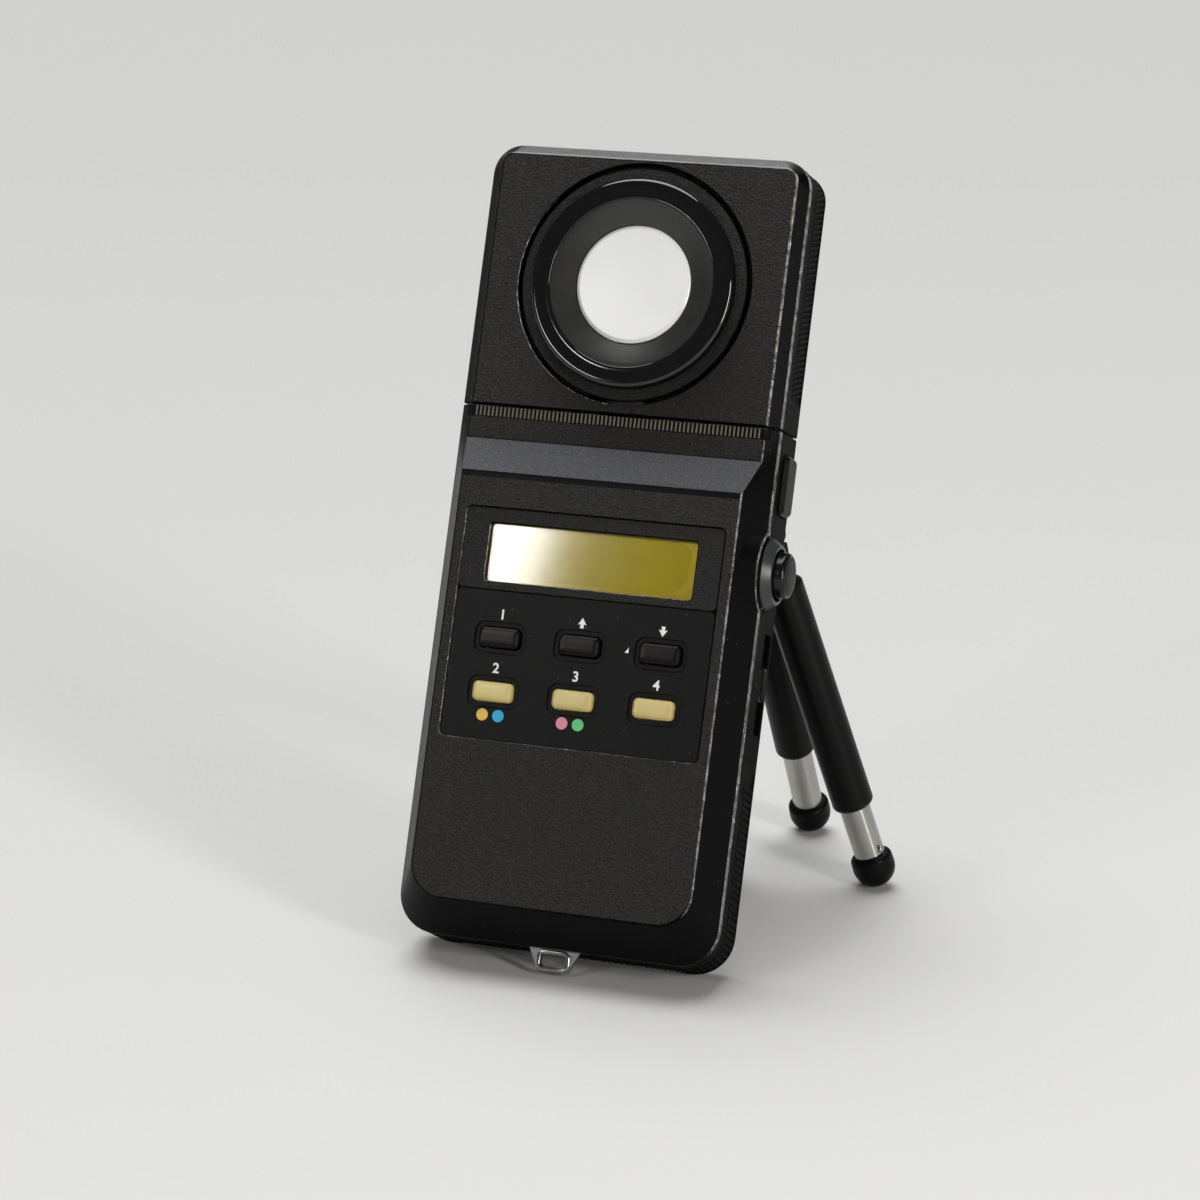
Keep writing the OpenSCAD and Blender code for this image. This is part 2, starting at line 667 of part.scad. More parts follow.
// The measuring button works along X, through the boss on the right side
module measure_button() {
    tip = half_w + button_proud;
    color("#202225") in_pose() translate([0, button_y, button_z]) {
        rotate([0, 90, 0]) rotate_extrude() polygon(concat(
            [[0, switch_face + button_travel + 0.2], [1.4, switch_face + button_travel + 0.2],
             [1.4, button_seat - drop_gap - button_flange],
             [button_r + 0.9, button_seat - drop_gap - button_flange],
             [button_r + 0.9, button_seat - drop_gap], [button_r, button_seat - drop_gap]],
            [for (k = [0:5]) [button_r - 1 + cos(18 * k), tip - 1.4 + sin(18 * k)]],
            [[button_r - 1, tip - 0.4], [button_r * 0.6, tip - 0.08], [0, tip]]));
    }
}
module measure_collar() {
    x0 = half_w - 0.1;
    x1 = half_w + collar_proud;
    bore = button_r + button_gap;
    color("#2b2c2f") in_pose() translate([0, button_y, button_z]) rotate([0, 90, 0])
        rotate_extrude($fn = 96) polygon([
            [bore, x0], [collar_r, x0], [collar_r, x0 + 0.3], [bore + 0.7, x1 - 0.1],
            [bore + 0.5, x1], [bore + 0.1, x1], [bore, x1 - 0.1]
        ]);
}
module measure_switch() {
    color("#3a3a3c") in_pose() box([switch_face - 5.4, switch_face],
        [board_y + board_t, button_y + 3.4], [button_z - 4, button_z + 4]);
}
module slide_knob() {
    x0 = half_w - 1 + face_gap;
    length = slide_knob_l;
    width = slide_pocket_w - 2 * drop_gap;
    ribs = 5;
    color("#1f1f21") in_pose() translate([0, slide_y, slide_z]) {
        box([x0, half_w + 0.1], [-width / 2, width / 2], [-length / 2, length / 2]);
        for (k = [0:ribs - 1])
            translate([half_w, 0, -length / 2 + length * (k + 0.5) / ribs]) rotate([-30, 0, 0])
                box([0, 0.45], [-width / 2 + 0.5, width / 2 - 0.5], [-0.22, 0.22]);
        box([half_w - wall - 0.9, x0 + skin], [-0.6, 0.6], [-1.5, 1.5]);
    }
}
module slide_switch() {
    color("#c9c9c4") in_pose() translate([0, slide_y, slide_z]) difference() {
        box([half_w - wall - 0.2 - slide_switch_t, half_w - wall - 0.2], [-2.6, 2.6],
            [-slide_switch_half, slide_switch_half]);
        box([half_w - wall - 1.4, half_w], [-0.9, 0.9], [-slide_travel - 2, slide_travel + 2]);
    }
}
module terminal_cover() {
    y0 = cover_y0() + drop_gap / 2;
    y1 = cover_y1() - drop_gap / 2;
    z0 = cover_z - cover_l / 2 + drop_gap / 2;
    z1 = cover_z + cover_l / 2 - drop_gap / 2;
    color("#222426") in_pose() hull() {
        box([half_w - 0.8 + 0.02, half_w + 0.1], [y0, y1], [z0, z1]);
        box([half_w, half_w + cover_proud * 0.7], [y0 + 0.4, y1 - 0.4], [z0 + 0.5, z1 - 0.5]);
        box([half_w, half_w + cover_proud], [y0 + 1.4, y1 - 1.4], [z0 + 1.6, z1 - 1.6]);
    }
}
module accessory_socket() {
    y = (cover_y0() + cover_y1()) / 2;
    color("#3b3b3d") in_pose() translate([0, y, cover_z]) difference() {
        union() {
            box([half_w - wall - 5.2, half_w - wall - 0.1], [-3.2, 3.2], [-4, 4]);
            rod_x(2.5, half_w - wall - 0.1 - skin, half_w - 0.9);
        }
        rod_x(1.75, half_w - wall - 4, half_w);
    }
}
module battery() {
    y1 = back_in - 0.2;
    x0 = -battery_l / 2 - 1;
    color("#b9bcc0") in_pose() {
        box([x0, x0 + battery_l], [y1 - battery_t, y1], [battery_z, battery_z + battery_h]);
        for (s = [-1, 1])
            translate([0, y1 - battery_t / 2, battery_z + battery_h / 2 + s * battery_pole_pitch / 2])
                rod_x(2.9, x0 + battery_l - skin, x0 + battery_l + 2.1);
    }
}
module battery_snap() {
    x0 = battery_l / 2 - 1 + 2.2;
    y = back_in - 0.2 - battery_t / 2;
    color("#3f3024") in_pose() difference() {
        box([x0, x0 + snap_t], [y - snap_half, y + snap_half],
            [battery_z + 0.8, battery_z + battery_h - 0.8]);
        for (s = [-1, 1]) translate([0, y, battery_z + battery_h / 2 + s * battery_pole_pitch / 2])
            rod_x(1.4, x0 - over, x0 + 1);
    }
}
module battery_cover() {
    color("#1b1b1d") in_pose() intersection() {
        rear_form(0, body_h, corner_r, 0, heel_drop);
        box([-lid_w / 2, lid_w / 2], [back_in + 0.1, body_d + over], [0.6 - heel_drop, lid_top]);
    }
}
module strap_eyelet() {
    round = 0.9;
    function turn(x, a) = [for (k = [0:4])
        [x + round * cos(a + 16 * k), -eyelet_l + round + round * sin(a + 16 * k)]];
    y0 = rear_y + drop_gap;
    low = eyelet_low_w / 2;
    top = eyelet_w / 2;
    z_slot = -eyelet_l + 1;
    color("#cfd2d4") in_pose() difference() {
        plate(y0, eyelet_t, concat([[-top, wall - 0.1], [-top, -0.2]], turn(-low + 0.6, 205),
            turn(low - 0.6, 271), [[top, -0.2], [top, wall - 0.1]]));
        plate(y0 - over, eyelet_t + 2 * over,
            outline(eyelet_slot_w / 2, z_slot, z_slot + eyelet_slot_h, 0.6, 0.6));
    }
}
module pan_screw(at, y_end) {
    seat = body_d - screw_sink;
    translate([at[0], 0, at[1]]) difference() {
        union() {
            rod_y(screw_r, y_end, seat - screw_head_h + skin);
            rod_y(screw_head_r, seat - screw_head_h, seat);
        }
        box([-1.5, 1.5], [seat - 0.7, seat + over], [-0.25, 0.25]);
        box([-0.25, 0.25], [seat - 0.7, seat + over], [-1.5, 1.5]);
    }
}
module case_screws() {
    color("#8d9196") in_pose() for (at = body_screw_places) pan_screw(at, face_wall + 3);
}
module socket_insert() {
    y0 = body_d - stud_l - 0.4;
    color("#b79a55") in_pose() translate([socket_x, 0, socket_z]) difference() {
        rod_y(stud_r + 1.75, y0, body_d - 0.05);
        rod_y(stud_r + run_gap, y0 - over, body_d + over);
    }
}

module head_front_form() {
    hull() {
        plate(brow_step, skin, outline(brow_half, head_z, head_top - head_top_bevel, 0,
            head_face_corner_r));
        plate(rim_y, lip, outline(half_w, head_z, head_top, 0, head_corner_r));
    }
}
module head_cavity(y0, y1) {
    plate(y0, y1 - y0, outline(half_w - wall, head_z + neck_wall, head_top - wall, 0.5,
        head_corner_r - wall));
}
module head_front_shell() {
    inner = brow_step + face_wall;
    color("#1d1d1f") in_pose() difference() {
        union() {
            difference() {
                head_front_form();
                head_cavity(inner, seam_y + over);
            }
            for (at = head_screw_places) screw_boss(at, inner - 0.8, screw_join_y, boss_outer_r);
        }
        translate([0, 0, receptor_z]) rod_y(opening_r, 0, seam_y + over);
        for (at = head_screw_places) screw_boss(at, inner + 0.6, screw_join_y + over, screw_r + 0.05);
    }
}
module head_rear_shell() {
    color("#1b1b1d") in_pose() difference() {
        union() {
            difference() {
                union() {
                    rear_form(head_z, head_top, 0, head_corner_r, 0);
                    plate(seam_y, seam_groove + skin, outline(half_w - seam_depth,
                        head_z + seam_depth, head_top - seam_depth, 0, head_corner_r - seam_depth));
                }
                head_cavity(seam_y - over, back_in);
            }
            for (at = head_screw_places)
                screw_boss(at, screw_join_y, back_in + skin, boss_outer_r + 0.8);
            for (at = board_posts()) screw_boss(at, sensor_y + board_t, back_in + skin, 1.6);
        }
        translate([0, swivel_y, head_z - over]) cylinder(r = neck_r + 0.03, h = neck_wall + 2 * over);
        for (at = head_screw_places) {
            screw_boss(at, screw_join_y - over, body_d + over, screw_r + 0.1);
            screw_boss(at, body_d - screw_sink - screw_head_h, body_d + over, screw_head_r + 0.1);
        }
    }
}
function board_posts() = [for (x = [-1, 1], z = [-1, 1])
    [x * (sensor_half - 3), receptor_z + z * (sensor_half - 3)]];
module neck_tube() {
    low = inner_top - 2.4;
    color("#9a9da1") in_pose() translate([0, swivel_y, 0]) difference() {
        union() {
            translate([0, 0, low]) cylinder(r = neck_r, h = head_z + neck_wall + neck_end - low);
            translate([0, 0, head_z + neck_wall]) cylinder(r = neck_flange_r, h = neck_end - 0.2);
        }
        translate([0, 0, low - over])
            cylinder(r = neck_bore_r, h = head_z + neck_wall + neck_end - low + 2 * over);
        translate([0, 0, inner_top - 1.4]) difference() {
            cylinder(r = neck_r + over, h = 1.1);
            translate([0, 0, -over]) cylinder(r = neck_r - 0.65, h = 1.1 + 2 * over);
        }
    }
}
module neck_clip() {
    color("#6f7378") in_pose() translate([0, swivel_y, inner_top - 1.35]) difference() {
        cylinder(r = neck_r + 1.2, h = 1);
        translate([0, 0, -over]) cylinder(r = neck_r - 0.6, h = 1 + 2 * over);
        box([-1.6, 1.6], [0, neck_r + 2], [-over, 1 + over]);
    }
}

module receptor_plate() {
    color("#222223") in_pose() difference() {
        turned([
            [rim_r + 0.5, brow_step], [insert_r, brow_step], [insert_r, insert_back - 1.2],
            [insert_flange_r, insert_back - 1.2], [insert_flange_r, insert_back],
            [rim_r + 0.5, insert_back]
        ]);
        // Room for the neck's flange
        box([-half_w, half_w], [swivel_y - neck_flange_r - drop_gap, body_d],
            [body_h, head_z + neck_wall + neck_end + drop_gap]);
    }
}
module bezel_ring() {
    top = brow_step - bezel_proud;
    color("#15161a") in_pose() turned(concat(
        [[rim_r, top + 0.15], [rim_r + 0.3, top]],
        [for (k = [0:4]) [bezel_r - 1.1 + 0.7 * sin(22.5 * k), top + 0.7 - 0.7 * cos(22.5 * k)]],
        [[bezel_r, brow_step], [rim_r + 0.45, brow_step], [rim_r + 0.45, brow_step + 1.6],
         [rim_r, brow_step + 1.6]]));
}
module baffle_cone() {
    color("#4b4d4a") in_pose() turned([
        [disc_r + 0.15, brow_step + 0.1], [rim_r - 0.05, dish_y], [rim_r - 0.05, dish_y + 0.9],
        [disc_r + 0.15, brow_step + 1]
    ]);
}
module diffuser() {
    y0 = brow_step - disc_proud;
    color("#f2f2ee") in_pose() turned(concat(
        [[0, y0], [disc_r * 0.6, y0 + 0.04]],
        [for (k = [0:4]) [disc_r - 0.7 + 0.7 * sin(22.5 * k), y0 + 0.8 - 0.7 * cos(22.5 * k)]],
        [[disc_r, y0 + disc_t - 0.8], [disc_r + 1, y0 + disc_t - 0.8], [disc_r + 1, y0 + disc_t],
         [0, y0 + disc_t]]));
}
function cell_places() = [for (a = [90, 210, 330])
    [cell_pitch_r * cos(a), receptor_z + cell_pitch_r * sin(a)]];
module filter_holder() {
    color("#303133") in_pose() difference() {
        translate([0, 0, receptor_z]) union() {
            rod_y(disc_r, holder_y, holder_y + holder_t);
            rod_y(rim_r + 4, insert_back + 0.05, insert_back + 1.2);
        }
        for (at = cell_places())
            screw_boss(at, holder_y - over, holder_y + holder_t + over, cell_r + 0.1);
    }
}
module color_filters() {
    tones = ["#2c5fc4", "#2f9a4c", "#c4392c"];
    in_pose() for (k = [0:2]) color(tones[k], 0.8)
        screw_boss(cell_places()[k], holder_y + 0.1, holder_y + 1.1, cell_r + 0.05);
}
module photocells() {
    color("#c8b46a") in_pose() for (at = cell_places())
        screw_boss(at, sensor_y - 1.6, sensor_y, cell_r);
}
module sensor_board() {
    color("#2f6b3f") in_pose() box([-sensor_half, sensor_half],
        [sensor_y, sensor_y + board_t], [receptor_z - sensor_half, receptor_z + sensor_half]);
}
module head_screws() {
    color("#8d9196") in_pose() for (at = head_screw_places) pan_screw(at, brow_step + face_wall + 1.2);
}

// Stand
module stand_screw() {
    color("#8f9295") in_pose() translate([socket_x, 0, socket_z]) {
        rod_y(stud_r, body_d - stud_l, body_d + face_gap + skin);
        rod_y(stand_flange_r, body_d + face_gap, body_d + face_gap + stand_flange_t);
        rod_y(stem_r, body_d + face_gap + stand_flange_t - skin, body_d + stem_l);
        translate([0, body_d + stem_l, 0]) sphere(r = ball_r);
    }
}
module ball_cup() {
    color("#1c1c1d") in_stand() difference() {
        translate([0, 0, cup_low]) cylinder(r = cup_r, h = cup_high - cup_low);
        sphere(r = ball_r + run_gap);
        box([-stem_r - 0.3, stem_r + 0.3], [-cup_r - over, stem_r + 0.3], [-stem_r - 0.4, cup_high + over]);
        rod_x(clamp_r + run_gap, -cup_r - over, 0);
    }
}
module clamp_knob() {
    far = cup_r + 0.4 + clamp_knob_l;
    color("#1a1a1b") in_stand() {
        rod_x(clamp_r, -cup_r - 0.4 - skin, -ball_r - 0.3);
        difference() {
            rod_x(clamp_knob_r, -far, -cup_r - 0.4);
            for (a = [0:30:359]) rotate([a, 0, 0]) translate([0, clamp_knob_r + 0.3, 0])
                rod_x(0.6, -far - over, -cup_r);
        }
    }
}
module tripod_hub() {
    color("#1c1c1d") in_stand() difference() {
        union() {
            translate([0, 0, -hub_drop + fork_high - skin])
                cylinder(r = pivot_r + 1.6, h = hub_drop + cup_low - fork_high + skin - 0.02);
            translate([0, 0, -hub_drop - fork_low]) cylinder(r = pivot_r - 4.2, h = fork_low + fork_high);
            for (i = LEGS) rotate([0, 0, leg_angle(i)]) translate([pivot_r, 0, -hub_drop])
                for (s = [-1, 1]) translate([0, s * (tongue_half + face_gap + ear_t / 2), 0])
                    box([-4.4, tongue_r - 0.2], [-ear_t / 2, ear_t / 2], [-fork_low, fork_high]);
        }
        for (i = LEGS) rotate([0, 0, leg_angle(i)]) translate([pivot_r, 0, -hub_drop])
            rod_y(pin_r + 0.02, -4, 4);
    }
}
module leg_pins() {
    reach = tongue_half + face_gap + ear_t;
    color("#9b9ea2") in_stand() for (i = LEGS) rotate([0, 0, leg_angle(i)])
        translate([pivot_r, 0, -hub_drop]) rod_y(pin_r, -reach, reach);
}
module leg_sleeve(i) {
    color("#19191a") in_leg(i) difference() {
        union() {
            translate([0, 0, -sleeve_l]) rotate_extrude() polygon([
                [0, 0.7], [sleeve_r - 0.7, 0], [sleeve_r - 0.2, 0.2], [sleeve_r, 0.7],
                [sleeve_r, sleeve_l - sleeve_top - 1.2], [sleeve_r - 1.2, sleeve_l - sleeve_top],
                [0, sleeve_l - sleeve_top]
            ]);
            box([-tongue_r, tongue_r], [-tongue_half, tongue_half], [-sleeve_top - skin, 0]);
            rod_y(tongue_r, -tongue_half, tongue_half);
        }
        rod_y(pin_r + run_gap, -3, 3);
        translate([0, 0, -sleeve_l - over])
            cylinder(r = tube_r + run_gap, h = sleeve_l + over - sleeve_top - sleeve_plug);
    }
}
module leg_tube(i) {
    foot = leg_length(i);
    color("#c5c9cc") in_leg(i) translate([0, 0, -foot]) {
        translate([0, 0, -1.5]) cylinder(r = tube_r, h = tube_l + 1.5);
        translate([0, 0, foot_r - 0.4]) rod_x(0.8, tube_r - 0.6, tube_r + 0.7);
    }
}
module leg_foot(i) {
    color("#141415") in_leg(i) translate([0, 0, -leg_length(i)]) difference() {
        sphere(r = foot_r);
        translate([0, 0, -1.5]) cylinder(r = tube_r + 0.03, h = foot_r + 2);
        translate([0, 0, foot_r - 0.4]) rod_x(0.85, 0, tube_r + 2);
    }
}

body_front_shell();
body_rear_shell();
ribbed_strip();
key_plate();
display_surround();
display_window();
lcd_glass();
display_frame();
contact_strips();
key_mat();
main_board();
processor_chip();
amplifier_chips();
film_key();
up_key();
down_key();
balance_key();
compensation_key();
kelvin_key();
measure_button();
measure_collar();
measure_switch();
slide_knob();
slide_switch();
terminal_cover();
accessory_socket();
battery();
battery_snap();
battery_cover();
strap_eyelet();
case_screws();
socket_insert();
head_front_shell();
head_rear_shell();
neck_tube();
neck_clip();
receptor_plate();
bezel_ring();
baffle_cone();
diffuser();
filter_holder();
color_filters();
photocells();
sensor_board();
head_screws();
stand_screw();
ball_cup();
clamp_knob();
tripod_hub();
leg_pins();
leg_sleeve(1);  // leg_sleeve_1
leg_sleeve(2);  // leg_sleeve_2
leg_sleeve(3);  // leg_sleeve_3
leg_tube(1);  // leg_tube_1
leg_tube(2);  // leg_tube_2
leg_tube(3);  // leg_tube_3
leg_foot(1);  // leg_foot_1
leg_foot(2);  // leg_foot_2
leg_foot(3);  // leg_foot_3
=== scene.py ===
import json
from math import atan2, copysign, cos, dist, hypot, pi, sin, sqrt, tan
from math import radians as rad

import bmesh
import bpy
from mathutils import Matrix, Vector


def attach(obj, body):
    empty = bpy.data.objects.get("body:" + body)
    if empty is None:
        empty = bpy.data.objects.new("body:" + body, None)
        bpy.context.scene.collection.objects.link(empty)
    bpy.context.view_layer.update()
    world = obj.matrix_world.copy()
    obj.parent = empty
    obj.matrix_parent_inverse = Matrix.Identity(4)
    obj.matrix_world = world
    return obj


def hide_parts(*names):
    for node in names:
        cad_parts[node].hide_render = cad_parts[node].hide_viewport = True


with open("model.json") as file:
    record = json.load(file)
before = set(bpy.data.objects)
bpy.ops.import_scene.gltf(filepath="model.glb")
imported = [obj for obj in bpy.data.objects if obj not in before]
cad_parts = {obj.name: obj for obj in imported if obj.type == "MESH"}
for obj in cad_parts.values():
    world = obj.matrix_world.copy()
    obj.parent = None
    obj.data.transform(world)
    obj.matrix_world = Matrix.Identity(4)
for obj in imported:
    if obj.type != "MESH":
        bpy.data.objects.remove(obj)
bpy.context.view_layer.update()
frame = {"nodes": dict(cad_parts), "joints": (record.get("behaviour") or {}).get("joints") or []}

# Looks of a hand-held colour meter that leans on its pocket tripod.
# Sizes are in millimetres in the meter's own frame: X across, Y from front to back, Z up its
# length. METER turns that frame into the frame of the CAD, in metres.
MM = 0.001

# Shells
SEAM_Y = 8.6
REAR_Y = 9.0
RIM_Y = 8.0
GROOVE_DEPTH = 0.7
WALL = 1.8
FACE_WALL = 2.4
JOINT_WALL = 2.4
CORNER_R = 8.5
FACE_CORNER_R = 7.5
FACE_HALF = 31.4
BROW_HALF = 33.3
CHIN_H = 7.7
BROW_STEP = 5.5
BROW_H = 7.2
SLOPE_H = 7.7
BACK_R = 2.0
HEAD_CORNER_R = 6.5
HEAD_FACE_CORNER_R = 2.5
HEAD_TOP_BEVEL = 2.2
STRIP_H = 2.1
STRIP_GAP = 0.2
RING_STEPS = 10
END_CUTS = 60
SWIVEL_Y = 14.0
NECK_R = 4.66
JOINT_R = 0.35
EDGE_R = 0.34
CREST_BAND = 1.3
LIP_STEP = 0.2
LIP_R = 0.22
NEAR = 0.01

# Panel, display and keys
PANEL_HALF = 29.0
PANEL_Z = 42.2
PANEL_TOP = 91.8
PANEL_RECESS = 1.2
PLATE_TOP = 74.1
PLATE_Y = 0.3
INK_Y = PLATE_Y - 0.03
SURROUND_Y = 0.15
DISPLAY_Z = 82.3
DISPLAY_HALF = 23.25
DISPLAY_HALF_H = 6.2
WINDOW_Y = (1.22, 2.17)
FILM_Y = (2.66, 2.71)
SIGN_RISE = 5.0
KEY_COLUMNS = (-18.0, 0.0, 18.0)
KEY_ROWS = (64.1, 52.5)
KEY_HALF = 4.5
KEY_HALF_H = 2.1
KEY_TOP = -0.9
KEY_R = 1.1
WELL_MARGIN = 1.2
WELL_DEPTH = 0.45

# Receptor
RECEPTOR_Z = 143.0
OPENING_R = 26.2
PLATE_R = 25.2
BEZEL_R = 22.9
BEZEL_TOP = 3.2
RIM_R = 18.3
DISC_R = 12.8

# Side controls
BUTTON_Y = 12.0
BUTTON_Z = 84.2
BUTTON_R = 5.0
BUTTON_TIP = 41.0
BOSS_R = 8.3
COLLAR_R = 7.6
COLLAR_TIP = 38.3
SLIDE_Y = 17.3
SLIDE_Z = 61.0
COVER_Y = 16.4
COVER_Z = 103.6

# Grip bands around the rear shells
BAND_Y = (12.7, 20.1)
BAND_DEPTH = 0.35
GRIP_TOP = 41.0
GRIP_PITCH = 1.4
HEAD_GRIP_PITCH = 1.2
HEAD_GRIP_LOW = 121.5
# A rib's section as shares of its width and height, and its height along its length
RIB_PROFILE = ((-0.5, -0.6), (-0.5, 0.45), (-0.3, 0.95), (0, 1.0), (0.3, 0.95), (0.5, 0.45), (0.5, -0.6))
RIB_SIZES = ((0.0, 0.35), (0.03, 0.85), (0.08, 1.0), (0.92, 1.0), (0.97, 0.85), (1.0, 0.35))

# Screws, socket and battery cover
SCREW_X = 29.4
POST_R = 3.2
WELL_R = 2.2
POST_LOW = 14.0
WELL_FLOOR = 3.2
SCREW_HOLE_R = 1.3
BODY_SCREWS = ((-SCREW_X, 46.0), (SCREW_X, 46.0), (-SCREW_X, 94.0), (SCREW_X, 94.0))
SOCKET_X = 19.2
SOCKET_Z = 102.8
LID_HALF = 25.0
LID_TOP = 40.0
THUMB_Z = 31.0

# Stand
FOOT_R = 4.85
SLEEVE_R = 4.7
SLEEVE_UP = 9.7
TUBE_R = 3.45
BORE_R = TUBE_R + 0.06
BALL_R = 5.0
CUP_R = 7.4
CUP_LOW = -9.0
CUP_HIGH = 3.2
HUB_DROP = 14.8

# Camera and lights
CAMERA_AT = (0.2359, -0.7198, 0.2964)
CAMERA_AZIMUTH = 19.38
CAMERA_ELEVATION = 16.66
CAMERA_LENS = 108.14
KEY_LAMP_AWAY = 1.2
KEY_LAMP_SIZE = (0.17, 0.13)
KEY_LAMP_RISE = 0.03
GLARE_AT = (-11.5, 1.2, DISPLAY_Z)


# Frames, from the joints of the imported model
JOINTS = {j["name"]: j for j in frame["joints"]}


def joint_line(name):
    """The place and direction of a joint's axis."""
    joint = JOINTS[name]
    return Vector(joint.get("pos_m", (0, 0, 0))), Vector(joint["axis"]).normalized()


def axes(origin, x, y, z):
    """A frame in millimetres at that origin, in metres."""
    turn = Matrix((x, y, z)).transposed().to_4x4()
    return Matrix.Translation(origin) @ turn @ Matrix.Scale(MM, 4)


def meter_frame():
    at, up = joint_line("head_swivel")
    right = Vector((1, 0, 0))
    back = up.cross(right)
    lowest = min(v.co.dot(up) for v in frame["nodes"]["body_front_shell"].data.vertices)
    return axes(at + (lowest - at.dot(up)) * up - SWIVEL_Y * MM * back, right, back, up)


def stand_frame():
    ball, _ = joint_line("stand_tilt")
    pivots = [joint_line(f"leg_{i}_spread")[0] for i in (1, 2, 3)]
    up = (pivots[1] - pivots[0]).cross(pivots[2] - pivots[0]).normalized()
    across = -joint_line("clamp_turn")[1]
    return axes(ball, across, up.cross(across), up)


def leg_frame(i):
    pivot, axis = joint_line(f"leg_{i}_spread")
    up = -joint_line(f"leg_{i}_extend")[1]
    return axes(pivot, up.cross(axis), -axis, up)


METER = meter_frame()
STAND = stand_frame()
LEGS = {i: leg_frame(i) for i in (1, 2, 3)}


def span(node):
    """The lowest and highest corner of a CAD node in the meter's frame."""
    inverse = METER.inverted()
    places = [inverse @ v.co for v in frame["nodes"][node].data.vertices]
    return tuple(Vector(pick(p[k] for p in places) for k in range(3)) for pick in (min, max))


rear_low, rear_high = span("body_rear_shell")
head_low, head_high = span("head_rear_shell")
HALF_W = -rear_low.x
BODY_D = rear_high.y
BODY_H = rear_high.z
HEEL_DROP = -rear_low.z
HEAD_Z = head_low.z
HEAD_TOP = head_high.z
BROW_Z = BODY_H - BROW_H
CREST_Z = BROW_Z - SLOPE_H
HEAD_SCREWS = [(x, z) for z in (HEAD_Z + 4.8, HEAD_TOP - 5.3) for x in (-SCREW_X, SCREW_X)]


def leg_length(i):
    """Distance from a leg's pivot to the centre of its ball foot, which stands on the floor."""
    pivot = LEGS[i].translation
    fall = LEGS[i].col[2].z / MM
    return (pivot.z / MM - FOOT_R) / fall


SLEEVE_L = min(leg_length(i) for i in (1, 2, 3)) - SLEEVE_UP


# Lines and outlines
def mix(a, b, t):
    return a + (b - a) * t


def fillet(points, steps=4):
    """An open line of (a, b) or (a, b, radius) points, with its corners rounded."""
    line = []
    for k, point in enumerate(points):
        here = Vector(point[:2])
        if len(point) < 3 or k in (0, len(points) - 1):
            line.append(tuple(here))
            continue
        before = Vector(points[k - 1][:2]) - here
        after = Vector(points[k + 1][:2]) - here
        half = before.angle(after) / 2
        reach = min(point[2] / tan(half), 0.49 * before.length, 0.49 * after.length)
        radius = reach * tan(half)
        middle = (before.normalized() + after.normalized()).normalized()
        centre = here + middle * radius / sin(half)
        start = here + before.normalized() * reach - centre
        end = here + after.normalized() * reach - centre
        turn = atan2(start.x * end.y - start.y * end.x, start.dot(end))
        for s in range(steps + 1):
            a = turn * s / steps
            line.append((centre.x + start.x * cos(a) - start.y * sin(a),
                         centre.y + start.x * sin(a) + start.y * cos(a)))
    return line


def arc(x, y, r, start, end, steps):
    """Points of a circle between two angles."""
    angles = [rad(mix(start, end, k / steps)) for k in range(steps + 1)]
    return [(x + r * cos(a), y + r * sin(a)) for a in angles]


def outline(half, z0, z1, low_r, top_r, steps=8, side_cuts=1, end_cuts=1):
    """A rounded rectangle about X 0, from its lower right corner on."""
    corners = ((half - low_r, z0 + low_r, low_r, -90), (half - top_r, z1 - top_r, top_r, 0),
               (top_r - half, z1 - top_r, top_r, 90), (low_r - half, z0 + low_r, low_r, 180))
    cuts = (side_cuts, end_cuts, side_cuts, end_cuts)
    points = []
    for k, (x, z, r, start) in enumerate(corners):
        points += arc(x, z, r, start, start + 90, steps)
        end = points[-1]
        begin = arc(*corners[(k + 1) % 4], 0, 1)[0]
        points += [(mix(end[0], begin[0], c / cuts[k]), mix(end[1], begin[1], c / cuts[k]))
                   for c in range(1, cuts[k])]
    return points


def pad(half_x, half_z, r, x=0.0, z=0.0, steps=6):
    """A rounded rectangle as a function of its inset."""
    def shape(inset):
        points = outline(half_x - inset, -half_z + inset, half_z - inset,
                         max(r - inset, 0.05), max(r - inset, 0.05), steps)
        return [(x + px, z + pz) for px, pz in points]
    return shape


def disc(r, x=0.0, z=0.0, steps=48):
    """A circle as a function of its inset."""
    def shape(inset):
        return arc(x, z, r - inset, 0, 360, steps)[:-1]
    return shape


# How a flat shape and its depth lie in the meter: on the front or back, on the right side, level
FACE = Matrix(((1, 0, 0, 0), (0, 0, 1, 0), (0, 1, 0, 0), (0, 0, 0, 1)))
SIDE = Matrix(((0, 0, 1, 0), (1, 0, 0, 0), (0, 1, 0, 0), (0, 0, 0, 1)))
LEVEL = Matrix.Identity(4)


# Meshes
def at_depth(points, y):
    """Points of X and Z as points in space."""
    return [(x, y, z) for x, z in points]


def skin(rings, close=False):
    """Joins rings of as many points by faces, and closes the ends, or the last ring to the first."""
    bm = bmesh.new()
    loops = [[bm.verts.new(p) for p in ring] for ring in rings]
    for a, b in zip(loops, loops[1:] + (loops[:1] if close else [])):
        for k in range(len(a)):
            n = (k + 1) % len(a)
            bm.faces.new((a[k], a[n], b[n], b[k]))
    if not close:
        bm.faces.new(loops[0][::-1])
        bm.faces.new(loops[-1])
    return bm


def solid(*parts):
    """One mesh in millimetres from several that don't touch, with its faces turned outwards."""
    bm = bmesh.new()
    for part in parts:
        mesh = bpy.data.meshes.new("part")
        part.to_mesh(mesh)
        part.free()
        bm.from_mesh(mesh)
        bpy.data.meshes.remove(mesh)
    bmesh.ops.recalc_face_normals(bm, faces=bm.faces)
    return bm


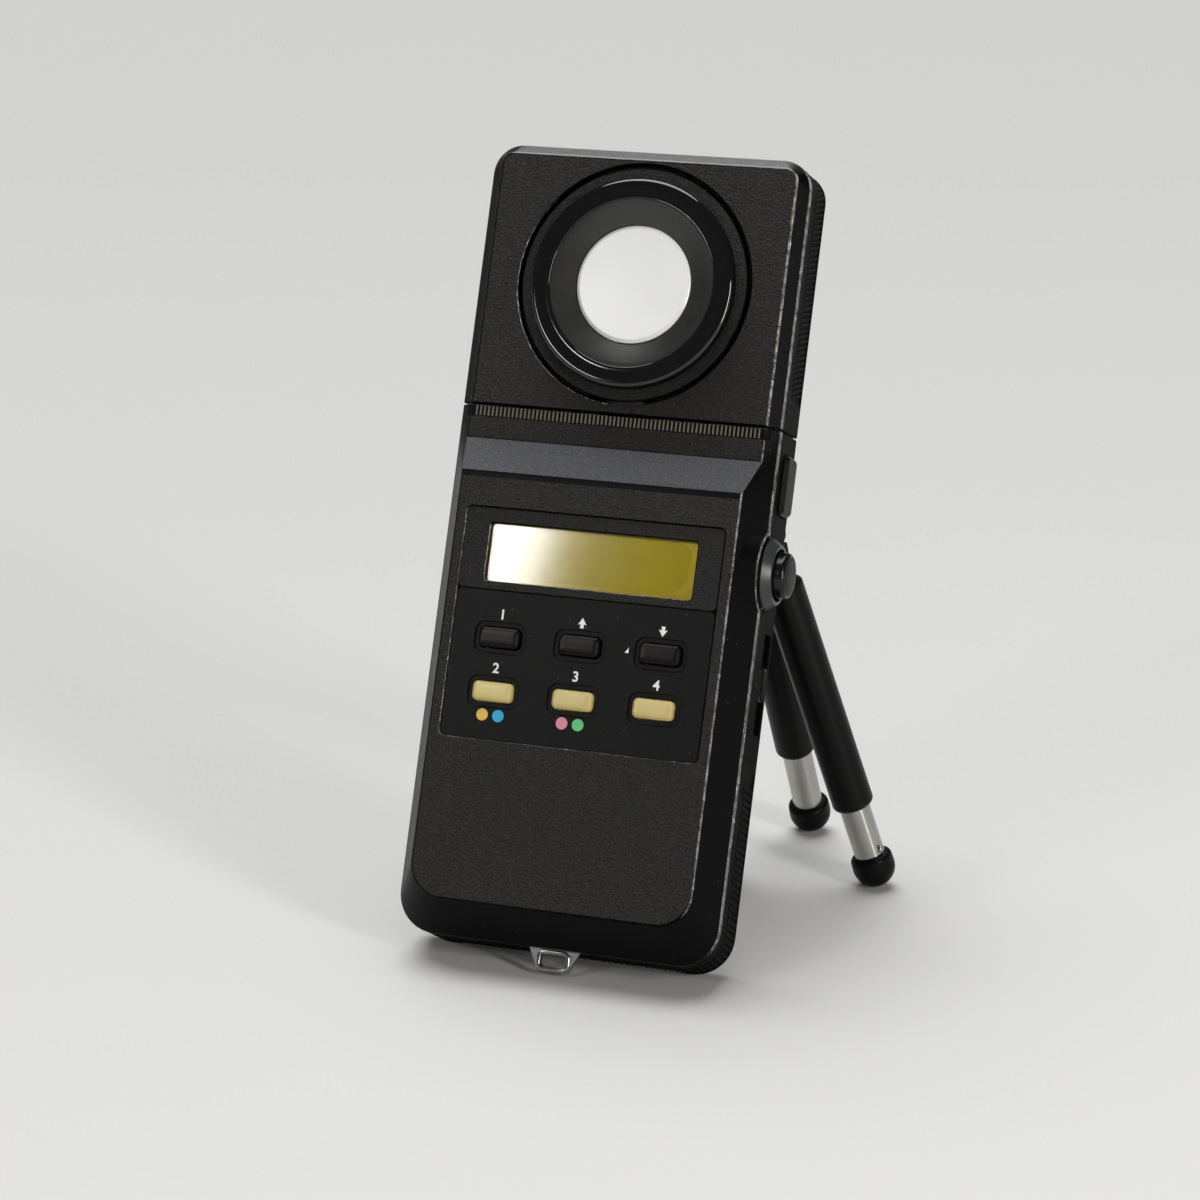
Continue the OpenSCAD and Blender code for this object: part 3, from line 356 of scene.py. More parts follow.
def rows_form(shape, rows, turn=FACE, at=(0, 0, 0)):
    """A solid from a shape's outlines, each row giving their inset and depth."""
    bm = skin([[(u, v, depth) for u, v in shape(inset)] for inset, depth in rows])
    bm.transform(Matrix.Translation(at) @ turn)
    return bm


def pocket(shape, floor, mouth, flare=0.0, turn=FACE, at=(0, 0, 0)):
    """A cutter from the floor to past the mouth, whose rim it rounds by flare."""
    way = 1 if mouth > floor else -1
    rows = [(0, floor)]
    for k in range(4 if flare else 0):
        a = rad(30 * k)
        rows.append((-flare * (1 - cos(a)), mouth - way * flare * (1 - sin(a))))
    rows.append((-flare, mouth + way * 3))
    return rows_form(shape, rows, turn, at)


def lathe(profile, turn=LEVEL, at=(0, 0, 0), segments=96, close=False, flutes=0, flute_depth=0.0,
          fluted=(0, 0)):
    """A form turned about its depth, from points of radius and depth. A radius of 0 is its axis.
    flutes cuts as many grooves between the two depths of fluted."""
    bm = bmesh.new()
    angles = [2 * pi * s / segments for s in range(segments)]
    loops = []
    for r, h in profile:
        cut = flute_depth if fluted[0] <= h <= fluted[1] else 0.0
        reach = [r - cut * max(0.0, cos(flutes * a)) ** 0.7 for a in angles]
        ring = [(c * cos(a), c * sin(a), h) for c, a in zip(reach, angles)]
        loops.append([bm.verts.new(p) for p in (ring if r > 1e-6 else [(0, 0, h)])])
    rings = [loop for loop in loops if len(loop) > 1]
    for a, b in zip(rings, rings[1:] + (rings[:1] if close else [])):
        for s in range(segments):
            n = (s + 1) % segments
            bm.faces.new((a[s], a[n], b[n], b[s]))
    for end, ring in ((loops[0], rings[0]), (loops[-1], rings[-1])):
        if len(end) == 1:
            for s in range(segments):
                bm.faces.new((ring[s], ring[(s + 1) % segments], end[0]))
        elif not close:
            bm.faces.new(end)
    bm.transform(Matrix.Translation(at) @ turn)
    return bm


def around(middle, half):
    return middle - half, middle + half


def block(x, y, z, r=0.15):
    """A box with rounded edges."""
    bm = bmesh.new()
    size = Matrix.Diagonal((x[1] - x[0], y[1] - y[0], z[1] - z[0], 1))
    middle = Matrix.Translation(((x[0] + x[1]) / 2, (y[0] + y[1]) / 2, (z[0] + z[1]) / 2))
    bmesh.ops.create_cube(bm, size=1, matrix=middle @ size)
    if r:
        bmesh.ops.bevel(bm, geom=bm.edges[:], offset=r, segments=2, profile=0.5, affect="EDGES")
    return bm


def placed(name, data):
    """An object of that data in the scene."""
    o = bpy.data.objects.new(name, data)
    bpy.context.scene.collection.objects.link(o)
    return o


def to_object(bm, name="cutter"):
    mesh = bpy.data.meshes.new(name)
    bm.to_mesh(mesh)
    bm.free()
    return placed(name, mesh)


def drop(o):
    mesh = o.data
    bpy.data.objects.remove(o)
    bpy.data.meshes.remove(mesh)


def shown(o):
    """The mesh of an object after its modifiers."""
    bpy.context.view_layer.update()
    graph = bpy.context.evaluated_depsgraph_get()
    mesh = bpy.data.meshes.new_from_object(o.evaluated_get(graph))
    bm = bmesh.new()
    bm.from_mesh(mesh)
    bpy.data.meshes.remove(mesh)
    return bm


def changed(bm, *changes):
    """The mesh after modifiers, each a kind and its settings."""
    source = to_object(bm)
    for kind, settings in changes:
        change = source.modifiers.new(kind, kind)
        for key, value in settings.items():
            setattr(change, key, value)
    result = shown(source)
    drop(source)
    return result


CUT = "DIFFERENCE"
JOIN = "UNION"


def carve(bm, *steps):
    """The mesh after boolean steps, each an operation and the meshes that it takes."""
    cutters = [to_object(solid(*parts)) for _, parts in steps]
    result = changed(bm, *[("BOOLEAN", {"operation": operation, "solver": "EXACT", "object": cutter})
                           for (operation, _), cutter in zip(steps, cutters)])
    for cutter in cutters:
        drop(cutter)
    bmesh.ops.dissolve_degenerate(result, dist=1e-4, edges=result.edges)
    return result


def piece(name, bm, body, materials, cad=None, turn=METER, sharp=32, pick=None):
    """A finished piece from a mesh in millimetres: it rides on body and stands for the CAD node.
    pick(centre, normal), in millimetres, gives the number of a face's material."""
    bmesh.ops.recalc_face_normals(bm, faces=bm.faces)
    o = to_object(bm, name)
    mesh = o.data
    if not isinstance(materials, (list, tuple)):
        materials = [materials]
    for material in materials:
        mesh.materials.append(material)
    for polygon in mesh.polygons:
        polygon.use_smooth = True
        if pick:
            polygon.material_index = pick(polygon.center, polygon.normal)
    mesh.transform(turn)
    mesh.set_sharp_from_angle(angle=rad(sharp))
    weighted = o.modifiers.new("weighted normals", "WEIGHTED_NORMAL")
    weighted.keep_sharp = True
    weighted.weight = 80
    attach(o, body)
    if cad:
        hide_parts(cad)


# Materials
def node(tree, kind, inputs=None, **settings):
    """A node with its settings, and inputs that are values or the sockets that feed them."""
    made = tree.nodes.new(kind)
    for key, value in settings.items():
        setattr(made, key, value)
    for key, value in (inputs or {}).items():
        if isinstance(value, bpy.types.NodeSocket):
            tree.links.new(value, made.inputs[key])
        else:
            made.inputs[key].default_value = value
    return made


def linear(rgb):
    """A colour as the eye reads it, 0 to 255, as Blender's linear colour."""
    def channel(c):
        c /= 255
        return c / 12.92 if c <= 0.04045 else ((c + 0.055) / 1.055) ** 2.4
    return (*[channel(c) for c in rgb], 1)


def coordinates(tree, kind="Object"):
    return node(tree, "ShaderNodeTexCoord").outputs[kind]


def noise(tree, size, detail=3.0, rough=0.55, at=None):
    """Noise whose features are size mm across, on the piece's own coordinates."""
    return node(tree, "ShaderNodeTexNoise", {"Vector": at or coordinates(tree), "Scale": 1 / (size * MM),
                                             "Detail": detail, "Roughness": rough}).outputs["Fac"]


def spread(tree, value, low, high, out_low, out_high):
    return node(tree, "ShaderNodeMapRange", {"Value": value, "From Min": low, "From Max": high,
                                             "To Min": out_low, "To Max": out_high}).outputs["Result"]


def blend(tree, factor, a, b):
    """A colour between two."""
    return node(tree, "ShaderNodeMix", {"Factor": factor, 6: a, 7: b}, data_type="RGBA").outputs[2]


def leather_height(tree, size):
    """Height of a leather-like grain: small uneven cells with soft valleys."""
    at = coordinates(tree)
    warp = node(tree, "ShaderNodeTexNoise", {"Vector": at, "Scale": 0.6 / (size * MM), "Detail": 2.0})
    pull = node(tree, "ShaderNodeVectorMath", {0: warp.outputs["Color"], 1: (0.5, 0.5, 0.5)},
                operation="SUBTRACT").outputs["Vector"]
    pull = node(tree, "ShaderNodeVectorMath", {0: pull, "Scale": 1.3 * size * MM},
                operation="SCALE").outputs["Vector"]
    moved = node(tree, "ShaderNodeVectorMath", {0: at, 1: pull}, operation="ADD").outputs["Vector"]
    cells = node(tree, "ShaderNodeTexVoronoi", {"Vector": moved, "Scale": 1 / (size * MM)},
                 feature="SMOOTH_F1").outputs["Distance"]
    fine = noise(tree, size * 0.35, 2.0, 0.6, at)
    return node(tree, "ShaderNodeMath", {0: cells, 1: fine}, operation="MULTIPLY").outputs["Value"]


def dust(tree, color):
    """Sparse pale specks over a colour."""
    at = coordinates(tree)
    far = node(tree, "ShaderNodeTexVoronoi", {"Vector": at, "Scale": 1 / (2.1 * MM)}).outputs["Distance"]
    speck = spread(tree, far, 0.022, 0.05, 0.75, 0)
    return blend(tree, speck, color, linear((150, 143, 130)))


def new_material(name):
    material = bpy.data.materials.new(name)
    material.use_nodes = True
    return material, material.node_tree, material.node_tree.nodes["Principled BSDF"]


def surface(name, tone, rough=(0.4, 0.5), grain=None, leather=None, glint_tone=None, mottle=5.0,
            dusty=False, vary=0.95, spec=0.5, **sockets):
    """A material whose colour, roughness and bump come from nodes.
    mottle is the size of its faint patches, vary the tone of them, grain or leather the size and
    height of its bumps, in mm, glint_tone the tone of painted glints on the tops of the leather's
    grain, a painted highlight, and spec its gloss level."""
    material, tree, shader = new_material(name)
    shader.inputs["Specular IOR Level"].default_value = spec
    for key, value in sockets.items():
        shader.inputs[key.replace("_", " ")].default_value = value
    patches = spread(tree, noise(tree, mottle), 0.3, 0.7, 0, 1)
    color = blend(tree, patches, linear(tone), linear([vary * c for c in tone]))
    shine = spread(tree, noise(tree, 0.4 * mottle, 4.0), 0.3, 0.7, rough[0], rough[1])
    tree.links.new(shine, shader.inputs["Roughness"])
    if grain or leather:
        size, height = grain or leather
        value = leather_height(tree, size) if leather else noise(tree, size, 3.0, 0.65)
        if glint_tone:
            # Painted highlight: the tops of the leather's grain are painted in the lighter glint tone
            color = blend(tree, spread(tree, value, 0.2, 0.36, 0, 1), color, linear(glint_tone))
        bump = node(tree, "ShaderNodeBump", {"Height": value, "Strength": 1.0, "Distance": height * MM})
        tree.links.new(bump.outputs["Normal"], shader.inputs["Normal"])
    tree.links.new(dust(tree, color) if dusty else color, shader.inputs["Base Color"])
    return material


def window_material(name, facing=None):
    """A clear window: what lies behind shows, and the lamps are mirrored softly, as much as facing
    says or, without it, as on glass."""
    material, tree, shader = new_material(name)
    shader.inputs["Base Color"].default_value = (1, 1, 1, 1)
    shader.inputs["Metallic"].default_value = 1.0
    haze = spread(tree, noise(tree, 5.0, 4.0), 0.3, 0.7, 0.075, 0.085)
    tree.links.new(haze, shader.inputs["Roughness"])
    clear = node(tree, "ShaderNodeBsdfTransparent", {"Color": (0.98, 0.98, 0.97, 1)})
    if facing is None:
        facing = node(tree, "ShaderNodeFresnel", {"IOR": 1.52}).outputs["Fac"]
    mixed = node(tree, "ShaderNodeMixShader",
                 {0: facing, 1: clear.outputs["BSDF"], 2: shader.outputs["BSDF"]})
    tree.links.new(mixed.outputs["Shader"], tree.nodes["Material Output"].inputs["Surface"])
    return material


def painted_edge_highlight():
    """Edges with a painted highlight: pale metal in noise patches where they face right or up, towards the
    lamps, and dark elsewhere.
    """
    material = surface("edge with painted highlight", (172, 169, 164), (0.1, 0.17), leather=(0.46, 0.6), Metallic=1.0)
    tree = material.node_tree
    shader = tree.nodes["Principled BSDF"]
    normal = coordinates(tree, "Normal")
    share = node(tree, "ShaderNodeVectorMath", {0: normal, 1: (0.8, 0.0, 0.6)},
                 operation="DOT_PRODUCT").outputs["Value"]
    # Painted highlight: edges that face right or up, towards the lamps, get the pale metal tone in noise
    # patches, and the rest get the dark tone
    towards = spread(tree, share, 0.3, 0.6, 0, 1)
    highlight_patches = spread(tree, noise(tree, 1.6, 5.0, 0.7), 0.44, 0.56, 0.3, 1)
    painted_highlight_mask = node(tree, "ShaderNodeMath", {0: towards, 1: highlight_patches}, operation="MULTIPLY").outputs["Value"]
    tone = shader.inputs["Base Color"].links[0].from_socket
    tree.links.new(blend(tree, painted_highlight_mask, linear((9, 9, 9)), tone), shader.inputs["Base Color"])
    return material


def drawn_chrome(i):
    """The chrome of a leg's rod, drawn along its length."""
    material = surface(f"drawn chrome {i}", (174, 173, 169), (0.19, 0.23), (1.5, 0.002),
                       Metallic=1.0, Anisotropic=0.9)
    tree = material.node_tree
    along = node(tree, "ShaderNodeVectorTransform", {"Vector": LEGS[i].col[2].to_3d().normalized()},
                 vector_type="VECTOR", convert_from="OBJECT", convert_to="WORLD").outputs["Vector"]
    tree.links.new(along, tree.nodes["Principled BSDF"].inputs["Tangent"])
    return material


# The glint tones of the grained, fine grained and textured plastics are painted highlights on their grain
GRAINED = surface("grained black plastic", (9, 8, 7), (0.3, 0.36), leather=(0.46, 0.9),
                  glint_tone=(42, 38, 33), dusty=True, spec=0.3)
EDGE = painted_edge_highlight()
SATIN = surface("satin black plastic", (8, 8, 9), (0.3, 0.36), (0.25, 0.02), dusty=True, spec=0.06)
SLOPE = surface("fine grained plastic", (46, 48, 54), (0.36, 0.42), leather=(0.4, 0.5),
                glint_tone=(88, 91, 98), spec=0.8)
POLISHED = surface("polished bevel", (12, 12, 13), (0.2, 0.27), (0.3, 0.02), spec=0.7)
FRONT_SURFACES = [GRAINED, SATIN, SLOPE, EDGE, POLISHED]
REAR = surface("rear shell plastic", (9, 9, 9), (0.46, 0.52), (0.3, 0.1), spec=0.02)
BACK = surface("back plastic", (18, 18, 18), (0.4, 0.46), leather=(0.42, 0.3), spec=0.4)
REAR_SURFACES = [REAR, EDGE, BACK]
STRIP = surface("strip plastic", (98, 93, 78), (0.34, 0.42), (0.2, 0.02), mottle=2.0)
PANEL = surface("key plate plastic", (10, 10, 10), (0.36, 0.41), (0.16, 0.02), dusty=True, spec=0.15)
TEXTURED = surface("textured black plastic", (9, 9, 8), (0.32, 0.38), leather=(0.42, 0.6),
                   glint_tone=(36, 34, 30), spec=0.26)
BLACK_KEY = surface("black key plastic", (17, 12, 10), (0.24, 0.28), (0.4, 0.003), mottle=3.0, spec=0.12)
CREAM_KEY = surface("cream key plastic", (198, 180, 116), (0.27, 0.31), (0.4, 0.003), mottle=3.0)
GLOSS = surface("glossy black plastic", (5, 5, 8), (0.045, 0.06), (0.9, 0.002), spec=0.6)
DISH = surface("dish", (68, 68, 66), (0.3, 0.36), (0.2, 0.01), Metallic=0.7)
OPAL = surface("opal plastic", (238, 239, 238), (0.24, 0.27), mottle=40.0, Subsurface_Weight=0.15,
               Subsurface_Radius=(0.002, 0.002, 0.002), Subsurface_Scale=1.0)
BUTTON = surface("button plastic", (11, 12, 13), (0.17, 0.22), (0.25, 0.006), spec=0.3)
COLLAR = surface("collar plastic", (46, 51, 51), (0.28, 0.36), (0.25, 0.01), spec=0.4)
RUBBER = surface("rubber", (11, 11, 11), (0.34, 0.42), (0.3, 0.03), spec=0.08)
STAND_BLACK = surface("painted metal", (10, 10, 10), (0.3, 0.38), (0.35, 0.015), spec=0.12)
CHROME = surface("chrome", (174, 173, 169), (0.06, 0.11), (1.5, 0.002), Metallic=1.0)
STEEL = surface("steel", (140, 142, 145), (0.25, 0.36), (0.4, 0.01), Metallic=1.0)
BRASS = surface("brass", (180, 150, 84), (0.25, 0.38), (0.4, 0.01), Metallic=1.0)
LCD_EDGE = surface("display glass", (238, 214, 50), (0.42, 0.47), Metallic=0.28, spec=0.05)
LCD_FILM = surface("display film", (222, 202, 2), (0.42, 0.47), (0.25, 0.004), mottle=14.0,
                   Metallic=0.28, spec=0.05)
INK = surface("white ink", (236, 236, 234), (0.5, 0.6), mottle=2.0)
WINDOW = [window_material("clear window"), window_material("inner side of the window", 0.02)]
DOT_INKS = [surface(f"{name} ink", tone, mottle=1.5) for name, tone in
            (("yellow", (222, 186, 84)), ("blue", (40, 166, 214)), ("pink", (220, 138, 160)),
             ("green", (98, 198, 128)))]
BOARD = surface("circuit board", (32, 92, 52), (0.3, 0.4), (0.5, 0.03), mottle=3.0)
CHIP = surface("chip package", (26, 26, 28), (0.5, 0.6), (0.15, 0.01), mottle=2.0)
SILICONE = surface("silicone mat", (120, 122, 126), (0.5, 0.6))
WHITE_PLASTIC = surface("white plastic", (214, 214, 206), (0.4, 0.5), (0.4, 0.01))
BATTERY_CASE = surface("battery case", (168, 171, 176), (0.3, 0.4), Metallic=0.7)
CELL = surface("photocell", (190, 160, 90), (0.2, 0.3), mottle=1.5)
FILTER = surface("filter glass", (80, 120, 190), (0.05, 0.12), mottle=2.0)


# Rear shells
class Half:
    """One half of the meter behind the seam: the body or the head."""

    def __init__(self, z0, z1, low_r, top_r, heel, joint_low, side_cuts):
        self.z0, self.z1 = z0, z1
        self.low_r, self.top_r = low_r, top_r
        self.heel = heel
        self.joint_low = joint_low
        self.side_cuts = side_cuts

    def ring(self, inset, y):
        """The outline at depth y. It drops towards the heel, and is nearly square at the joint."""
        share = (y - REAR_Y) / (BODY_D - BACK_R - REAR_Y)
        drop = self.heel * min(max(share, 0), 1)
        at_joint = min(inset, JOINT_R)
        low_in, top_in = (at_joint, inset) if self.joint_low else (inset, at_joint)
        return outline(HALF_W - inset, self.z0 - drop + low_in, self.z1 - top_in,
                       max(self.low_r - inset, 0.1), max(self.top_r - inset, 0.1), RING_STEPS,
                       self.side_cuts, END_CUTS)

    def inner_ring(self):
        low = self.z0 + (JOINT_WALL if self.joint_low else WALL)
        high = self.z1 - (WALL if self.joint_low else JOINT_WALL)
        return outline(HALF_W - WALL, low, high, max(self.low_r - WALL, 0.5),
                       max(self.top_r - WALL, 0.5), RING_STEPS, self.side_cuts, END_CUTS)

    def shell(self, banded):
        """The closed shell. Between BAND_Y its wall is drawn in where banded(x, z) holds."""
        lip = fillet([(GROOVE_DEPTH, SEAM_Y), (GROOVE_DEPTH, REAR_Y), (0, REAR_Y, 0.25),
                      (0, BAND_Y[0] - 0.3)])
        edge = fillet([(0, BODY_D - 3 * BACK_R), (0, BODY_D, BACK_R), (3 * BACK_R, BODY_D)], 8)
        edge[0] = (0, BAND_Y[1] + 0.3)
        edge[-1] = (2 * BACK_R, BODY_D)
        rings = [at_depth(self.ring(inset, y), y) for inset, y in edge[::-1]]
        for y in BAND_Y[::-1]:
            outer = self.ring(0, y)
            inner = self.ring(BAND_DEPTH, y)
            rings.append(at_depth([b if banded(*a) else a for a, b in zip(outer, inner)], y))
        rings += [at_depth(self.ring(inset, y), y) for inset, y in lip[::-1]]
        return skin(rings + [at_depth(self.inner_ring(), y) for y in (SEAM_Y, BODY_D - WALL)])

    def ribs(self, banded, pitch, lean, width):
        """Rounded ribs across the band, lean mm higher along the outline at the back."""
        front = self.ring(0, BAND_Y[0])
        back = self.ring(0, BAND_Y[1])
        sunk = self.ring(1, BAND_Y[0])
        lengths = [0.0]
        for a, b in zip(front, front[1:] + front[:1]):
            lengths.append(lengths[-1] + dist(a, b))

        def at(line, s):
            s %= lengths[-1]
            k = max(i for i in range(len(line)) if lengths[i] <= s)
            t = (s - lengths[k]) / (lengths[k + 1] - lengths[k])
            a, b = line[k], line[(k + 1) % len(line)]
            return Vector((mix(a[0], b[0], t), mix(a[1], b[1], t)))

        ribs = []
        for k in range(int(lengths[-1] / pitch)):
            s = (k + 0.5) * pitch
            if not (banded(*at(front, s - width)) and banded(*at(front, s + width))):
                continue
            rings = []
            for share, size in RIB_SIZES:
                y = mix(BAND_Y[0] + 0.1, BAND_Y[1] - 0.1, share)
                here = at(front, s + lean * share)
                out = (here - at(sunk, s + lean * share)).normalized()
                side = Vector((-out.y, out.x))
                place = here.lerp(at(back, s + lean * share), share)
                sinks = [BAND_DEPTH * (1 - min(height, size)) + 0.01 for _, height in RIB_PROFILE]
                rings.append(at_depth([place + side * across * width - out * sink
                                       for (across, _), sink in zip(RIB_PROFILE, sinks)], y))
            ribs.append(skin(rings))
        return solid(*ribs)


BODY = Half(0.0, BODY_H, CORNER_R, JOINT_R, HEEL_DROP, False, 76)
HEAD = Half(HEAD_Z, HEAD_TOP, JOINT_R, HEAD_CORNER_R, 0.0, True, 42)


def body_banded(x, z):
    return z < GRIP_TOP


def head_banded(x, z):
    return z > HEAD_GRIP_LOW


def rear_shell(name, body, half, banded, places, posts, cuts, slots):
    """A rear shell with its screw posts, their wells and bores, and what else is added and cut."""
    post_rows = [(0, POST_LOW), (0, BODY_D - WALL + 0.5)]
    bore_rows = [(0, POST_LOW - 1.0), (0, BODY_D - WELL_FLOOR + 0.2)]
    posts = [rows_form(disc(POST_R, x, z, 32), post_rows) for x, z in places] + posts
    wells = [pocket(disc(WELL_R, x, z, 40), BODY_D - WELL_FLOOR, BODY_D, 0.25) for x, z in places]
    bores = [rows_form(disc(SCREW_HOLE_R, x, z, 24), bore_rows) for x, z in places]
    bm = carve(half.shell(banded), (JOIN, posts), (CUT, wells + cuts), (CUT, bores + slots))
    piece(name, bm, body, REAR_SURFACES, f"{body}_rear_shell", pick=rear_pick)


def neck_bore(z0, z1):
    return lathe([(NECK_R, z0), (NECK_R, z1)], LEVEL, (0, SWIVEL_Y, 0), 64)


def rear_shells():
    socket_post = rows_form(disc(6.5, SOCKET_X, SOCKET_Z), [(0, BODY_D - 6.4), (0, BODY_D - WALL + 0.5)])
    boss = lathe(fillet([(0, -5), (BOSS_R, -5), (BOSS_R, 0.3, 0.45), (0, 0.3)]), SIDE,
                 (HALF_W, BUTTON_Y, BUTTON_Z), 96)
    cuts = [
        neck_bore(BODY_H - 4, BODY_H + 2),
        pocket(pad(LID_HALF + 0.2, 25.0, 0.6, 0, LID_TOP + 0.2 - 25.0), BODY_D - WALL - 1, BODY_D, 0.2),
        pocket(disc(4.9, SOCKET_X, SOCKET_Z), BODY_D - 5.9, BODY_D, 0.2),
        pocket(disc(BUTTON_R + 0.06, BUTTON_Y, BUTTON_Z, 64), HALF_W - 8, HALF_W + 0.3, 0.15, SIDE),
        pocket(pad(2.4, 10.7, 0.8, SLIDE_Y, SLIDE_Z), HALF_W - 1, HALF_W, 0.25, SIDE),
        pocket(pad(4.0, 6.6, 1.6, COVER_Y, COVER_Z), HALF_W - 0.8, HALF_W, 0.2, SIDE),
        block((-5.75, 5.75), (9.14, 10.46), (-3.0, 3.0), 0),
    ]
    slit = block((HALF_W - 3, HALF_W - 0.5), around(SLIDE_Y, 0.7), around(SLIDE_Z, 7), 0)
    rear_shell("rear_casing", "body", BODY, body_banded, BODY_SCREWS, [socket_post, boss], cuts, [slit])
    piece("grip_ribs", BODY.ribs(body_banded, GRIP_PITCH, 0.0, 0.95), "body", REAR)
    rear_shell("head_rear_casing", "head", HEAD, head_banded, HEAD_SCREWS, [],
               [neck_bore(HEAD_Z - 2, HEAD_Z + 4)], [])
    piece("head_grip_ribs", HEAD.ribs(head_banded, HEAD_GRIP_PITCH, 1.6, 0.8), "head", REAR)


# Front shells
def body_front_form(side_in, face_in, chin_in, top_z, end_y, rounded):
    """The body's front: a face, drafted walls, the slope and the brow, drawn in on request."""
    run = SLOPE_H / BROW_STEP
    shift = run * face_in - face_in * hypot(1, run)
    crest = CREST_Z + shift
    brow = BROW_Z + shift
    draft = (HALF_W - FACE_HALF) / RIM_Y
    face_w = FACE_HALF + draft * face_in - side_in
    face_z = CHIN_H * (1 - face_in / RIM_Y) + chin_in
    rim_w = HALF_W - side_in
    brow_w = min(BROW_HALF + (HALF_W - BROW_HALF) * face_in / (RIM_Y - BROW_STEP) - side_in, rim_w)
    brow_y = min(BROW_STEP + face_in, RIM_Y)
    face_r = max(FACE_CORNER_R - side_in, 1)
    rim_r = max(CORNER_R - side_in, 1)
    lip = LIP_STEP if rounded else 0.0
    levels = (brow, top_z)
    steps = 10
    bm = bmesh.new()

    def row(side, y, w, z, r, above):
        """Points of a lower corner, from the bottom to that side, and on up the side."""
        line = arc(w - r, z + r, r, -90, 0, steps) + [(w, top) for top in above]
        return [bm.verts.new((side * px, y, pz)) for px, pz in line]

    # The lines of each side: face, brink of the rim, rim, end and brows
    sides = []
    for side in (1, -1):
        sides.append((row(side, face_in, face_w, face_z, face_r, [crest]),
                      row(side, RIM_Y - lip, rim_w - lip, chin_in + lip, rim_r - lip, levels),
                      row(side, RIM_Y, rim_w, chin_in, rim_r, levels),
                      row(side, end_y, rim_w, chin_in, rim_r, levels),
                      [bm.verts.new((side * brow_w, brow_y, z)) for z in levels]))
    for face, brink, rim, end, brows in sides:
        bands = [(face[:steps + 2], brink), (rim, end)] + ([(brink, rim)] if rounded else [])
        for a, b in bands:
            for k in range(len(a) - 1):
                bm.faces.new((a[k], a[k + 1], b[k + 1], b[k]))
        bm.faces.new((face[-1], brows[0], brink[-2]))
        bm.faces.new((*brows, brink[-1], brink[-2]))
    right, left = sides
    for k in range(3):
        bm.faces.new((left[k][0], right[k][0], right[k + 1][0], left[k + 1][0]))
    for k in (0, 3):
        bm.faces.new(right[k] + left[k][::-1])
    brows, brows_l = right[4], left[4]
    bm.faces.new((left[0][-1], right[0][-1], brows[0], brows_l[0]))
    bm.faces.new((*brows_l, *brows[::-1]))
    tops = [right[k][-1] for k in (4, 1, 2, 3)] + [left[k][-1] for k in (3, 2, 1, 4)]
    bm.faces.new(tops)
    bmesh.ops.remove_doubles(bm, verts=bm.verts, dist=1e-5)
    bmesh.ops.recalc_face_normals(bm, faces=bm.faces)
    return with_soft_edges(bm, face_in, crest, top_z, end_y) if rounded else bm


def with_soft_edges(bm, face_y, crest, top_z, end_y):
    """Rounds the edges of the body's front, and less the lip at its seam."""
    weight = bm.edges.layers.float.new("bevel_weight_edge")
    for e in bm.edges:
        a, b = (v.co for v in e.verts)
        low_y, high_y = sorted((a.y, b.y))
        low_z, high_z = sorted((a.z, b.z))
        round_face = high_y < face_y + NEAR
        round_brow = low_y > BROW_STEP - NEAR and high_y < BROW_STEP + NEAR and high_z < top_z
        at_side = min(abs(a.x), abs(b.x)) > FACE_HALF - 1.4
        if round_face or round_brow or low_z > crest - NEAR and high_y < BROW_STEP + NEAR and at_side:
            e[weight] = 1.0
        elif low_z > top_z - NEAR or low_y > end_y - NEAR:
            e[weight] = LIP_R / EDGE_R
        elif low_y > RIM_Y - NEAR and high_y < RIM_Y + NEAR:
            e[weight] = 0.6 * LIP_R / EDGE_R
    return changed(bm, ("BEVEL", {"width": EDGE_R, "segments": 5, "limit_method": "WEIGHT",
                                  "use_clamp_overlap": True}))


def front_pick(centre, normal):
    """Grained faces with a smooth band below the crest, a fine grained slope, smooth walls, edges with a
    painted highlight and the head's polished top bevel."""
    under_crest = CREST_Z - CREST_BAND < centre.z < CREST_Z + 0.6
    if CREST_Z - 0.5 < centre.z < BROW_Z + 0.5 and normal.z > 0.4 and normal.y < -0.7:
        return 2
    if centre.z > HEAD_TOP - HEAD_TOP_BEVEL - 0.6 and normal.z > 0.5 and -0.9 < normal.y < -0.3:
        return 4
    if normal.y < -0.995:
        return 1 if under_crest else 0
    by_face = centre.y < 0.4 or (BROW_STEP < centre.y < BROW_STEP + 0.4 and centre.z > BROW_Z - 1)
    by_mitre = CREST_Z < centre.z < BROW_Z and abs(centre.x) > FACE_HALF - 1 and centre.y < 3.6
    by_seam = RIM_Y - LIP_STEP < centre.y < RIM_Y + 0.3 or normal.y > 0.1
    if abs(normal.x) < 0.05 and under_crest:
        return 1
    from_boss = hypot(centre.y - BUTTON_Y, centre.z - BUTTON_Z) - BOSS_R
    by_boss = centre.x > HALF_W - 0.35 and 0.4 < from_boss < 1.6
    return 3 if by_seam or by_face or by_mitre or by_boss else 1


def rear_pick(centre, normal):
    """The edge material, with its painted highlight, where the shell turns in towards the seam, and grained
    on the back.
    """
    if normal.y > 0.3:
        return 2
    return 1 if REAR_Y - 0.05 < centre.y < REAR_Y + 0.26 and -0.98 < normal.y < -0.05 else 0


